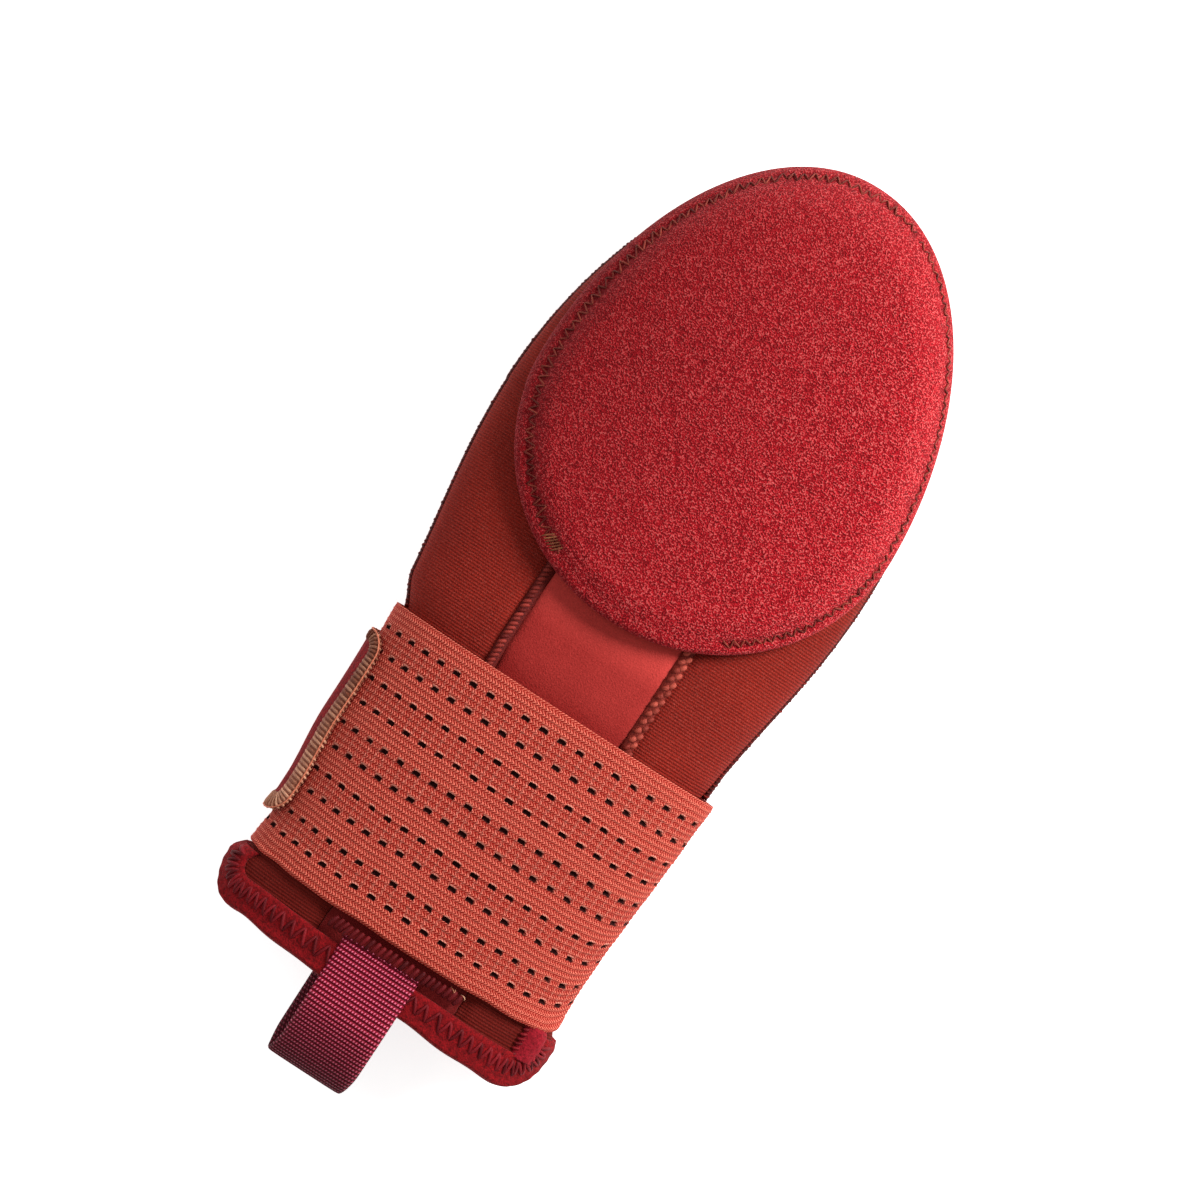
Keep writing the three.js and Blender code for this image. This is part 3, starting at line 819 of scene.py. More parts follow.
@dataclass
class Dresser:
    """Turns solids into pieces that ride on the mitt's body and stand for its nodes."""

    body: str = "root"
    triangles: int = 0

    def piece(
        self, name: str, solid: Solid, finish: bpy.types.Material, slot: str, nodes: tuple[str, ...] = ()
    ) -> bpy.types.Object:
        """Make a piece, with its faces pointing outwards.

        Args:
            name: The piece's name.
            solid: Its shape, in the mitt's millimetres.
            finish: Its material.
            slot: The record's material slot; not used.
            nodes: The nodes that it stands for.

        Returns:
            The object.
        """
        mesh = bpy.data.meshes.new(name)
        points = (POCKET.drawn_in(solid.points) - np.array([0.0, POCKET.shift_y, 0.0])) * MM
        sizes = np.concatenate([np.full(len(face), face.shape[1]) for face in solid.faces])
        corners = np.concatenate([face.ravel() for face in solid.faces])
        mesh.vertices.add(len(points))
        mesh.vertices.foreach_set("co", points.ravel())
        mesh.loops.add(len(corners))
        mesh.loops.foreach_set("vertex_index", corners.astype(np.int32))
        mesh.polygons.add(len(sizes))
        starts = np.concatenate([[0], np.cumsum(sizes)[:-1]])
        mesh.polygons.foreach_set("loop_start", starts.astype(np.int32))
        mesh.update(calc_edges=True)
        for value_name, values in solid.values.items():
            layer = mesh.attributes.new(value_name, "FLOAT", "POINT")
            layer.data.foreach_set("value", values.astype(np.float32))
        turned = bmesh.new()
        turned.from_mesh(mesh)
        bmesh.ops.recalc_face_normals(turned, faces=turned.faces)
        turned.to_mesh(mesh)
        turned.free()
        mesh.shade_smooth()
        mesh.materials.append(finish)
        made = bpy.data.objects.new(name, mesh)
        bpy.context.scene.collection.objects.link(made)
        if nodes:
            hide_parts(*nodes)
        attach(made, self.body)
        count = int((sizes - 2).sum())
        self.triangles += count
        log.info("%s: %d triangles, for %s", name, count, ", ".join(nodes) or "trim")
        return made


@dataclass(frozen=True)
class Cuff:
    """The open end of the pocket: its slits, rounded corners and binding."""

    slit_length: float = 30.0
    slit_width: float = 5.0
    corner: float = 13.0
    hem_width: float = 9.0
    binding: float = 1.0
    hem_top: float = 16.6

    def inset(self, y: Array) -> Array:
        """Return how far the flap's edge lies from the side seam: a slit, and a quarter circle below it."""
        slit = self.slit_width / 2 * (1 - ease_between(y, POCKET.strap_from, self.slit_length))
        below = np.maximum(self.corner - y, 0.0)
        return slit + self.corner - np.sqrt(self.corner**2 - below**2)

    def edge(self, is_top: bool, y: Array) -> Array:
        """Return the turn of the flap's left edge at each station."""
        turns = POCKET.turn_at_length(is_top, y, self.inset(y))
        return np.where(y < self.slit_length, turns, 0.0)

    def path(self, steps: int) -> Array:
        """Return stations round a flap, each with its run along the edge.

        The columns are the station, the corner's angle, the share of the way to the middle, whether it is
        on the right, and the run in millimetres.

        Args:
            steps: Number of stations on each half.

        Returns:
            Stations by five columns.
        """
        side = self.hem_top - self.corner
        arc = self.corner * np.pi / 2
        flat = 42.0
        run = np.linspace(0.0, side + arc + flat, steps)
        y = np.maximum(self.hem_top - run, self.corner)
        angle = np.clip((run - side) / self.corner, 0.0, np.pi / 2)
        middle = np.clip((run - side - arc) / flat, 0.0, 1.0)
        half = np.stack([y, angle, middle, np.zeros(steps), run], axis=1)
        other = half[::-1][1:].copy()
        other[:, 3] = 1.0
        other[:, 4] = 2 * run[-1] - other[:, 4]
        return np.concatenate([half, other])

    def place(self, is_top: bool, stations: Array, inset: Array, offset: Array) -> Array:
        """Return points of the binding: a distance in from the flap's edge, and one off its skin.

        Args:
            is_top: Whether on the front flap.
            stations: Rows of path().
            inset: Distance from the edge, for each row.
            offset: Distance off the outer skin, for each row.

        Returns:
            A point for each row.
        """
        y, angle, middle, right = stations[:, 0], stations[:, 1], stations[:, 2], stations[:, 3]
        radius = self.corner - inset
        station = y - radius * np.sin(angle)
        from_seam = self.slit_width / 2 + self.corner - radius * np.cos(angle)
        turn = mix(POCKET.turn_at_length(is_top, station, from_seam), 0.5, middle)
        return POCKET.skin(is_top, station, np.where(right > 0.5, 1 - turn, turn), offset)


CUFF = Cuff()


@dataclass
class Panels:
    """The four neoprene panels, with their edges drawn in by the seams."""

    dresser: Dresser
    knit: bpy.types.Material
    fuzz: bpy.types.Material
    rows: int = 190
    stitch_pitches: tuple[float, float] = (2.1, 2.9)
    trench: float = 1.1
    ripple: float = 0.25
    strap_dent: float = 0.9

    def stations(self, last: float) -> Array:
        """Return stations from the cuff to a last one, closer together at the cuff and the tip."""
        share = np.linspace(0.0, 1.0, self.rows)
        return last * (share - 0.11 * np.sin(2 * np.pi * share) / np.pi)

    def relief(self, points: Array) -> Array:
        """Return how far the skin is pressed in, from a first set of points.

        Each seam presses a trench at the edge of its stitches by exp(-distance / 0.9), with a ripple at the
        stitches' pitch that fades more slowly, and the strap presses in front of its edge.
        """
        x, y = points[..., 0], points[..., 1]
        pressed = np.zeros(x.shape)
        for seam, pitch in zip(POCKET.seams, self.stitch_pitches):
            away = np.maximum(np.abs(x - seam) - 1.5, 0.0)
            stitch = 0.5 + 0.5 * np.cos(2 * np.pi * y / pitch)
            pressed += self.trench * np.exp(-away / 0.9) + self.ripple * stitch * np.exp(-away / 2.5)
        past = np.maximum(y - POCKET.strap_to, 0.0)
        pressed += self.strap_dent * np.exp(-past / 4.5) * (y > POCKET.strap_to - 2)
        slow = np.sin(y / 17.0 + x / 31.0) + np.sin(y / 29.0 - x / 19.0 + 1.3)
        return -pressed - 0.12 * (2.0 + slow)

    def panel(self, is_top: bool, last: float, columns: int, left: Array, right: Array) -> Solid:
        """Return one panel between two edges.

        Args:
            is_top: Whether it is on the front.
            last: Its last station.
            columns: Points across it.
            left: Turn of its left edge at each station.
            right: Turn of its right edge at each station.

        Returns:
            The closed panel.
        """
        y = self.stations(last)[None, :]
        share = np.linspace(0.0, 1.0, columns)[:, None]
        turn = mix(left[None, :], right[None, :], share)
        flat = POCKET.skin(is_top, y, turn, 0.0)
        relief = self.relief(flat) if is_top else np.zeros(flat.shape[:2])
        outer = POCKET.skin(is_top, y, turn, relief)
        inner = POCKET.skin(is_top, y, turn, -POCKET.neoprene)
        return closed_band(outer, inner)

    def seam_end(self, x: float) -> float:
        """Return the station where the outline comes as close to the middle line as a seam."""
        return POCKET.widest_y + POCKET.reach * np.sqrt(1 - (x / (POCKET.knuckles / 2)) ** 2) - 0.05

    def build(self) -> None:
        """Build and dress the four panels."""
        gap = POCKET.clearance / 2
        left_seam, right_seam = POCKET.seams
        tip = POCKET.length - 0.05
        y = self.stations(tip)
        left, right = POCKET.turn_at(y, left_seam + gap), POCKET.turn_at(y, right_seam - gap)
        centre = self.panel(True, tip, 56, left, right)
        self.dresser.piece("centre_panel_cloth", centre, self.fuzz, "peach_neoprene", ("centre_panel",))
        y = self.stations(self.seam_end(left_seam))
        left, right = CUFF.edge(True, y), POCKET.turn_at(y, left_seam - gap)
        side = self.panel(True, y[-1], 60, left, right)
        self.dresser.piece("left_panel_cloth", side, self.knit, "ribbed_neoprene", ("left_side_panel",))
        y = self.stations(self.seam_end(right_seam))
        left, right = POCKET.turn_at(y, right_seam + gap), 1 - CUFF.edge(True, y)
        side = self.panel(True, y[-1], 60, left, right)
        self.dresser.piece("right_panel_cloth", side, self.knit, "ribbed_neoprene", ("right_side_panel",))
        y = self.stations(tip)
        edge = CUFF.edge(False, y)
        back = self.panel(False, tip, 90, edge, 1 - edge)
        self.dresser.piece("back_panel_cloth", back, self.knit, "ribbed_neoprene", ("back_panel",))


@dataclass
class GuardPad:
    """The oval pad: a crowned form with loop pile, a rolled rim and a zigzag seam round it."""

    dresser: Dresser
    pile: bpy.types.Material
    thread: bpy.types.Material
    tack: bpy.types.Material
    width: float = 118.0
    length: float = 148.0
    bottom: float = 127.4
    below_widest: float = 57.0
    shift: float = 2.0
    lean: float = 2.4
    thickness: float = 7.5
    rim: float = 4.2
    rim_width: float = 11.0
    mouth_lift: float = 1.6
    bridge: float = 0.96
    swell_cap: float = 2.5
    pressure: float = 4.0
    frames: int = 20
    groove_depth: float = 0.8
    loop_relief: float = 0.14
    stitch_inset: float = 3.1
    stitch_drift: float = 1.4
    mouth: tuple[float, float] = (-2.02, -1.07)

    def outline(self, angle: Array, share: Array) -> tuple[Array, Array]:
        """Return x and y of an egg, (cos a * half width, sin a * a length that differs below), leaned."""
        along = np.where(np.sin(angle) > 0, self.length - self.below_widest, self.below_widest)
        x, y = np.cos(angle) * share * self.width / 2, np.sin(angle) * share * along
        turn = np.radians(self.lean)
        middle = self.bottom + self.below_widest
        return (
            self.shift + x * np.cos(turn) - y * np.sin(turn),
            middle + x * np.sin(turn) + y * np.cos(turn),
        )

    def seat(self, angle: Array, share: Array) -> Array:
        """Return the points of the pad's underside: the skin of a place pulled in from the shoulders."""
        x, y = self.outline(angle, share)
        middle = self.bottom + self.below_widest
        station = np.where(y > middle, mix(middle, y, self.bridge), y)
        z = POCKET.on_top(mix(self.shift, x, self.bridge), station)[..., 2] + 1.5 * POCKET.clearance
        from_bottom = np.abs(angle + np.pi / 2) / (np.pi / 4)
        z = z + self.mouth_lift * ease(1 - from_bottom) * ease_between(share, 0.7, 1.0)
        return np.stack([x, y, z], axis=-1)

    def sewn(self, angle: Array) -> Array:
        """Return 1 where the rim is sewn down and 0 at the pocket's mouth."""
        low, high = self.mouth
        past_low = ease_between(angle, low - 0.06, low + 0.02)
        return 1 - past_low * (1 - ease_between(angle, high - 0.02, high + 0.06))

    def stitch_line(self, angle: Array) -> Array:
        """Return how far inside the rim the zigzag runs: deep on the left, near the rim on the right."""
        return self.stitch_inset + self.stitch_drift * np.cos(angle + 2.4)

    def groove(self, angle: Array, share: Array) -> Array:
        """Return the sewn groove, 1 on its line: exp(-((d - line) / 1.3)^2) where the rim is sewn."""
        from_rim = (1 - share) * self.width / 2
        return np.exp(-(((from_rim - self.stitch_line(angle)) / 1.3) ** 2)) * self.sewn(angle)

    def surface(self, angle: Array, share: Array, rim_turn: Array) -> Array:
        """Return points of the pad's upper face.

        The thickness eases from the rim's to the pad's, a groove follows the sewn rim, and the outer edge
        is a quarter circle.

        Args:
            angle: Direction from the pad's middle.
            share: 1 on the rim and 0 in the middle.
            rim_turn: 0 on top of the rim and a right angle on its outermost line.

        Returns:
            The points.
        """
        from_rim = (1 - share) * self.width / 2
        thick = mix(self.rim, self.thickness, ease_between(from_rim, 0, self.rim_width))
        thick = thick + 0.5 * np.cos(np.clip(share, 0, 1) * np.pi / 2)
        height = (thick - self.groove_depth * self.groove(angle, share)) * (1 + np.cos(rim_turn)) / 2
        points = self.seat(angle, share)
        return points + height[..., None] * np.array([0.0, 0.0, 1.0])

    def disc(self, rows: int, columns: int) -> tuple[Array, Array]:
        """Return the angle and radius of a square grid's points, drawn onto the unit circle.

        A grid point (u, v) goes to (u * (1 - v^2 / 2)^0.5, v * (1 - u^2 / 2)^0.5).
        """
        v, u = np.meshgrid(np.linspace(-1, 1, rows), np.linspace(-1, 1, columns), indexing="ij")
        across, along = u * np.sqrt(1 - v**2 / 2), v * np.sqrt(1 - u**2 / 2)
        return np.arctan2(along, across), np.minimum(np.hypot(across, along), 1.0)

    def swelling(self, rows: int, columns: int) -> Array:
        """Return how far the pad's cover swells over a grid, from a cloth simulation under pressure.

        The cover is simulated as a coarser grid, held all round at the stitches, and a point rises at most
        by the cap. The finer grid reads it as a mean weighted by exp(-(distance / step)^2).

        Args:
            rows: Rows of the finer grid.
            columns: Columns of the finer grid.

        Returns:
            The rise of each of its points, in millimetres.
        """
        tall, wide = 60, 48
        angle, radius = self.disc(tall, wide)
        start = self.surface(angle, radius * 0.96, np.zeros(angle.shape)).reshape(-1, 3) * MM
        mesh = bpy.data.meshes.new("pad_cover")
        mesh.from_pydata(start.tolist(), [], grid_quads(tall, wide).tolist())
        cover = bpy.data.objects.new("pad_cover", mesh)
        scene = bpy.context.scene
        scene.collection.objects.link(cover)
        held = cover.vertex_groups.new(name="held")
        held.add(np.flatnonzero(radius.ravel() > 0.88).tolist(), 1.0, "REPLACE")
        cloth = cover.modifiers.new("swelling", "CLOTH")
        cloth.settings.vertex_group_mass = "held"
        cloth.settings.use_pressure = True
        cloth.settings.uniform_pressure_force = self.pressure
        cloth.settings.effector_weights.gravity = 0.0
        for number in range(1, self.frames + 1):
            scene.frame_set(number)
        swollen = cover.evaluated_get(bpy.context.evaluated_depsgraph_get()).data
        places = np.empty(len(swollen.vertices) * 3)
        swollen.vertices.foreach_get("co", places)
        risen = (places.reshape(-1, 3)[:, 2] - start[:, 2]) / MM
        log.info("pad cover: the simulation raised it by up to %.1f mm", risen.max())
        risen = self.swell_cap * np.tanh(np.maximum(risen, 0.0) / self.swell_cap)
        scene.frame_set(1)
        bpy.data.objects.remove(cover)
        bpy.data.meshes.remove(mesh)

        def weights(fine: int, coarse: int) -> Array:
            """Return the share of each coarse line in each fine one."""
            step = 2 / (coarse - 1)
            away = np.linspace(-1, 1, fine)[:, None] - np.linspace(-1, 1, coarse)[None, :]
            near = np.exp(-((away / step) ** 2))
            return near / near.sum(axis=1, keepdims=True)

        return weights(rows, tall) @ risen.reshape(tall, wide) @ weights(columns, wide).T

    def body(self) -> Solid:
        """Return the pad: a square grid drawn onto the egg on top, and rings that close it underneath."""
        rows, columns = 280, 226
        angle, radius = self.disc(rows, columns)
        half_rim = self.rim / self.width
        flat_part = 0.955
        rim_turn = np.clip((radius - flat_part) / (1 - flat_part), 0, 1) * np.pi / 2
        inside = radius / flat_part * (1 - half_rim)
        share = np.where(radius < flat_part, inside, 1 - half_rim * (1 - np.sin(rim_turn)))
        points = self.surface(angle, share, rim_turn)
        pile = smooth_noise((rows, columns), 1.3, 11)
        points[..., 2] += self.loop_relief * pile * (radius < 0.999) + self.swelling(rows, columns)
        # The groove lowers the value pile, so the finish paints shade along it.
        pile = pile - 0.8 * self.groove(angle, share)
        border = np.arange(rows * columns).reshape(rows, columns)
        edge = np.concatenate([border[0, :-1], border[:-1, -1], border[-1, :0:-1], border[:0:-1, 0]])
        edge_angle = angle.ravel()[edge]
        rings = []
        for turn, inward in ((0.4, 0.0), (0.8, 0.0), (np.pi / 2, 0.0), (np.pi / 2, 0.1), (np.pi / 2, 0.5)):
            ring_share = 1 - half_rim * (1 - np.cos(turn)) - inward
            ring = self.seat(edge_angle, np.full(edge_angle.shape, ring_share))
            ring[:, 2] += self.rim / 2 * (1 - np.sin(turn))
            rings.append(ring)
        rings.append(np.broadcast_to(self.seat(np.zeros(1), np.zeros(1)), rings[0].shape) * 1.0)
        rings[-1][:, :2] = mix(rings[-1][:, :2], rings[-2][:, :2], 0.002)
        start = rows * columns
        count = len(edge)
        around = np.arange(count)
        first = np.stack([edge, np.roll(edge, -1), start + (around + 1) % count, start + around], axis=1)
        below = grid_quads(len(rings), count, start, goes_round=True)
        last = (start + (len(rings) - 1) * count + around)[None, :]
        everything = np.concatenate([points.reshape(-1, 3), *rings])
        under = np.zeros(len(rings) * count)
        values = {"pile": np.concatenate([0.5 + 0.5 * pile.ravel(), 0.5 + under])}
        return Solid(everything, [grid_quads(rows, columns), first, below, last], values)

    def rim_run(self) -> tuple[Array, Array]:
        """Return angles along the sewn part of the rim, clockwise, with the run of each."""
        start, stop = self.mouth[0], self.mouth[1] - 2 * np.pi
        angles = np.linspace(start, stop, 4000)
        x, y = self.outline(angles, np.full(angles.shape, 0.94))
        return angles, run_along(np.stack([x, y], axis=1))

    def on_face(self, run_at: Array, beside: Array, lift: Array) -> Array:
        """Return places on the upper face, by a run along the rim and how far beside the stitch line.

        The inset from the rim is line * (1 + beside / 3), so the band narrows where it nears the rim.
        """
        angles, run = self.rim_run()
        angle = np.interp(run_at, run, angles)
        wrapped = np.mod(angle + np.pi, 2 * np.pi) - np.pi
        inset = self.stitch_line(wrapped) * (1 + beside / 3)
        rim_turn = np.arcsin(np.clip(1 - 2 * inset / self.rim, 0.0, 1.0))
        points = self.surface(wrapped, 1 - inset / (self.width / 2), rim_turn)
        return points + lift[..., None] * np.array([0.0, 0.0, 1.0])

    def zigzag(self, pitch: float = 3.1) -> Solid:
        """Return the zigzag seam: legs between two lines, each an arch with both ends in the pile."""
        total = self.rim_run()[1][-1]
        knots = np.arange(1.0, total - 1.0, pitch / 2)
        wander = np.random.default_rng(3).normal(0.0, 0.2, (3, len(knots)))
        beside = np.where(np.arange(len(knots)) % 2, 1.0, -1.0) + wander[0]
        t, run, across = legs(knots + wander[1], beside, 7)
        lift = -0.35 + wander[2][1:, None] + 0.75 * np.sin(np.pi * t) ** 0.7 + 0.0 * run
        return threads(self.on_face(run, across, lift), 0.27)

    def tacks(self) -> Solid:
        """Return the thick bar tacks at the left end of the mouth."""
        t = np.linspace(0.0, 1.0, 7)[None, :]
        run = (1.5 + 0.95 * np.arange(6))[:, None] + 1.3 * t
        across = mix(1.0, -1.6, t) + 0.0 * run
        lift = -0.2 + 0.7 * np.sin(np.pi * t) ** 0.6 + 0.0 * run
        return threads(self.on_face(run, across, lift), 0.28)

    def build(self) -> None:
        """Build and dress the pad and its stitches."""
        pad = self.dresser.piece("guard_pad_cloth", self.body(), self.pile, "loop_pile", ("guard_pad",))
        self.dresser.piece("pad_zigzag", self.zigzag(), self.thread, "seam_thread")
        self.dresser.piece("pad_tacks", self.tacks(), self.tack, "seam_thread")


@dataclass
class Seams:
    """The two raised seams beside the centre panel and the overlocked seam round the outline."""

    dresser: Dresser
    ladder: bpy.types.Material
    rope: bpy.types.Material
    overlock: bpy.types.Material
    pad: GuardPad
    width: float = 3.6
    height: float = 1.7

    def last_y(self, x: float) -> float:
        """Return the station where the pad's rim crosses a seam."""
        angles = np.linspace(-np.pi, 0.0, 800)
        rim_x, rim_y = self.pad.outline(angles, np.ones(800))
        return float(np.interp(x, rim_x, rim_y)) + 1.5

    def base(self, x: float, last: float) -> Solid:
        """Return the low half-round cord under the stitches: up = height * (1 - across^2)."""
        y = np.linspace(POCKET.strap_to - 3.0, last, 60)[:, None]
        across = np.linspace(-1.0, 1.0, 13)[None, :]
        up = 0.62 * self.height * (1 - across**2) - 0.9
        top = POCKET.on_top(x + across * self.width / 2, y + 0.0 * across, up)
        under = POCKET.on_top(x + across[:, ::-1] * self.width / 2, y + 0.0 * across, -1.2 + 0.0 * up)
        return swept(np.concatenate([top, under], axis=1))

    def rungs(self, x: float, last: float) -> Solid:
        """Return the slanted stitches across the left seam, each an arch from side to side."""
        start = np.arange(POCKET.strap_to - 1.5, last - 0.5, 1.5)
        wander = np.random.default_rng(5).normal(0.0, 0.08, (2, len(start), 1))
        t = np.linspace(-1.0, 1.0, 9)[None, :]
        across = x + t * 1.0 + wander[0]
        y = start[:, None] + 0.8 * t + wander[1]
        up = -0.8 + 1.05 * (1 - np.abs(t) ** 2.5) + 0.0 * y
        return threads(POCKET.on_top(across, y, up), 0.52, 8, 0.85, 0.6)

    def beads(self, x: float, last: float) -> Solid:
        """Return the right seam's two rows of plump stitches, which lie half a pitch apart."""
        pitch = 2.9
        start = np.arange(POCKET.strap_to - 1.5, last - 0.5, pitch / 2)
        odd = (np.arange(len(start)) % 2)[:, None]
        wander = np.random.default_rng(6).normal(0.0, 0.09, (2, len(start), 1))
        t = np.linspace(-1.0, 1.0, 9)[None, :]
        across = x + mix(-0.65, 0.6, odd) + 0.55 * t + wander[0]
        y = start[:, None] + mix(0.75, 0.95, odd) * t + wander[1]
        up = -0.6 + 0.7 * (1 - np.abs(t) ** 2) + 0.0 * y
        return threads(POCKET.on_top(across, y, up), 0.78, 8, 0.9, 0.45)

    def outline_path(self, steps: int) -> tuple[Array, Array, Array]:
        """Return the outline from strap to strap: places, outward directions and the run along it."""
        y_side = np.linspace(POCKET.strap_to + 0.5, POCKET.widest_y, 400)
        turn = np.linspace(0.0, np.pi, 900)[1:-1]
        left = np.stack([-POCKET.half_width(y_side), y_side], axis=1)
        tip_x = -POCKET.knuckles / 2 * np.cos(turn)
        tip = np.stack([tip_x, POCKET.widest_y + POCKET.reach * np.sin(turn)], axis=1)
        right = left[::-1] * np.array([-1.0, 1.0])
        places, run = evenly(np.concatenate([left, tip, right]), steps)
        ahead = unit(np.gradient(places, axis=0))
        outward = np.stack([-ahead[:, 1], ahead[:, 0]], axis=1)
        return places, outward, run

    def wrapped(self, out: Array, up: Array, places: Array, outward: Array) -> Array:
        """Return points beside the outline, out from it and up from the seam's height."""
        seam = POCKET.heights(places[:, 1])[0][:, None]
        flat = places[:, None, :] + out[..., None] * outward[:, None, :]
        return np.concatenate([flat, (seam + up)[..., None]], axis=-1)

    def edge(self) -> tuple[Solid, Solid]:
        """Return the outline seam's core and the stitches that go over it, each most of an oval turn."""
        places, outward, _ = self.outline_path(420)
        around = np.linspace(0, 2 * np.pi, 11)[None, :-1]
        out = -0.5 + 1.05 * np.cos(around) + 0.0 * places[:, :1]
        core = swept(self.wrapped(out, 1.5 * np.sin(around) + 0.0 * out, places, outward))
        places, outward, run = self.outline_path(300)
        lean = np.random.default_rng(9).normal(0.0, 0.08, (len(run), 1))
        arc = np.linspace(-2.1, 2.1, 11)[None, :]
        out = -0.9 + 1.3 * np.cos(arc) + lean
        stitches = self.wrapped(out, 1.8 * np.sin(arc) + 0.0 * out, places, outward)
        ahead = np.stack([outward[:, 1], -outward[:, 0]], axis=1)
        stitches[..., :2] += 0.55 * np.sin(arc)[..., None] * ahead[:, None, :]
        return core, threads(stitches, 0.3, 6, 1.0, 0.6)

    def build(self) -> None:
        """Build and dress the three seams."""
        left, right = POCKET.seams
        left_end, right_end = self.last_y(left), self.last_y(right)
        for name, base, stitches, finish, node in (
            (
                "left_seam_ladder",
                self.base(left, left_end),
                self.rungs(left, left_end),
                self.ladder,
                "rope_seam_left",
            ),
            (
                "right_seam_rope",
                self.base(right, right_end),
                self.beads(right, right_end),
                self.rope,
                "rope_seam_right",
            ),
            ("outline_overlock", *self.edge(), self.overlock, "edge_seam"),
        ):
            self.dresser.piece(name, base.shaded(0.0).joined(stitches), finish, "seam_thread", (node,))


@dataclass
class Hems:
    """The folded bindings of both cuff flaps and their zigzag seams."""

    dresser: Dresser
    binding: bpy.types.Material
    patch: bpy.types.Material
    thread: bpy.types.Material
    ends: bpy.types.Material
    patch_sides: tuple[float, float] = (44.6, 50.4)
    patch_ends: tuple[float, float] = (8.0, 22.0)
    patch_height: float = 2.0

    def profile(self) -> Array:
        """Return the binding's section as insets and offsets, with round folds."""
        folded = POCKET.clearance + CUFF.binding
        inside = -POCKET.neoprene - 2 * POCKET.clearance
        low = inside - CUFF.binding
        middle = (folded + low) / 2
        half = (folded - low) / 2
        turn = np.linspace(np.pi / 2, 3 * np.pi / 2, 11)
        fold = np.stack([np.cos(turn) * folded * 1.1, middle + half * np.sin(turn)], axis=1)
        outer_in = np.linspace(CUFF.hem_width, 0.8, 7)[:, None]
        swell = 0.25 * np.sin(np.pi * outer_in / CUFF.hem_width)
        top = np.concatenate([outer_in, folded - 0.25 + swell], axis=1)
        under = np.array([[0.8, low], [CUFF.hem_width / 2, low], [CUFF.hem_width, low]])
        inmost = [CUFF.hem_width, CUFF.hem_width / 2, 0.3]
        inner = [[inset, inside] for inset in inmost]
        inner += [[inset, POCKET.clearance / 2] for inset in inmost[::-1]]
        return np.concatenate([top, fold, under, np.array(inner)])

    def band(self, is_top: bool) -> Solid:
        """Return a binding: its section carried round the flap."""
        stations = CUFF.path(110)
        profile = self.profile()
        rows = np.repeat(stations, len(profile), axis=0)
        inset = np.tile(profile[:, 0], len(stations))
        offset = np.tile(profile[:, 1], len(stations))
        pucker = 0.08 * np.cos(2 * np.pi * rows[:, 4] / 3.6) * (offset > 0)
        ripple = 0.3 * np.sin(2 * np.pi * rows[:, 4] / 23.0) * (inset < 0.9)
        points = CUFF.place(is_top, rows, inset + ripple, offset + pucker)
        return swept(points.reshape(len(stations), len(profile), 3))

    def on_binding(self, is_top: bool, run: Array, inset: Array, offset: Array) -> Array:
        """Return places on a binding, by a run round the flap."""
        table = CUFF.path(300)
        rows = np.stack([np.interp(run.ravel(), table[:, 4], table[:, i]) for i in range(5)], axis=1)
        right = run.ravel() > table[-1, 4] / 2
        rows[:, 3] = right
        return CUFF.place(is_top, rows, inset.ravel(), offset.ravel()).reshape(*run.shape, 3)

    def zigzag(self, is_top: bool, pitch: float = 3.6) -> Solid:
        """Return the zigzag stitches of a binding, each leg an arch between its two lines."""
        total = CUFF.path(300)[-1, 4]
        knots = np.arange(0.8, total - 0.8, pitch / 2)
        wander = np.random.default_rng(17 + is_top).normal(0.0, 0.15, (2, len(knots)))
        inset = np.where(np.arange(len(knots)) % 2, 7.6, 2.4) + wander[0]
        t, run, across = legs(knots + wander[1], inset, 8)
        arch = np.sin(np.pi * t) ** 0.6 + 0.0 * run
        offset = POCKET.clearance + CUFF.binding - 0.45 + 0.6 * arch
        return threads(self.on_binding(is_top, run, across, offset), 0.52)

    def corner_patch(self) -> Solid:
        """Return the strip of pile at the front flap's right corner, with a rounded rise at its sides."""
        left, right = self.patch_sides
        stations, places = np.linspace(*self.patch_ends, 30), np.linspace(left, right, 14)
        y, x = np.meshgrid(stations, places, indexing="ij")
        crown = np.maximum(np.sin(np.pi * (x - left) / (right - left)), 0.0) ** 0.4
        lumps = 0.18 * smooth_noise(x.shape, 1.5, 41)
        face = POCKET.on_top(x, y, 0.2 + self.patch_height * crown + lumps)
        return closed_band(face, POCKET.on_top(x, y, 0.0 * x - 0.6))

    def corner_line(self) -> Solid:
        """Return the row of stitches beside the patch."""
        y = np.arange(9.0, 21.0, 1.5)[:, None]
        wander = np.random.default_rng(43).normal(0.0, 0.12, (2, len(y), 1))
        t = np.linspace(-1.0, 1.0, 7)[None, :]
        across = self.patch_sides[0] + t + wander[0] + 0.0 * y
        lift = 0.1 + 0.7 * (1 - t**2) + 0.0 * y
        return threads(POCKET.on_top(across, y + 0.5 * t + wander[1], lift), 0.42)

    def loose_ends(self) -> Solid:
        """Return the few thread ends beside the loop: short curved hairs."""
        t = np.linspace(0.0, 1.0, 8)[None, :]
        start = np.array([[20.2, 15.6], [21.2, 13.0], [23.6, 15.2]])[:, :, None]
        reach = np.array([[1.7, -2.0], [0.4, 2.6], [1.6, -1.0]])[:, :, None]
        x, y = start[:, 0] + reach[:, 0] * t, start[:, 1] + reach[:, 1] * t + np.sin(3 * t) * 0.5
        return threads(POCKET.on_top(x, y, 0.9 + 1.1 * np.sin(np.pi * t) + 0.0 * x), 0.2, 5)

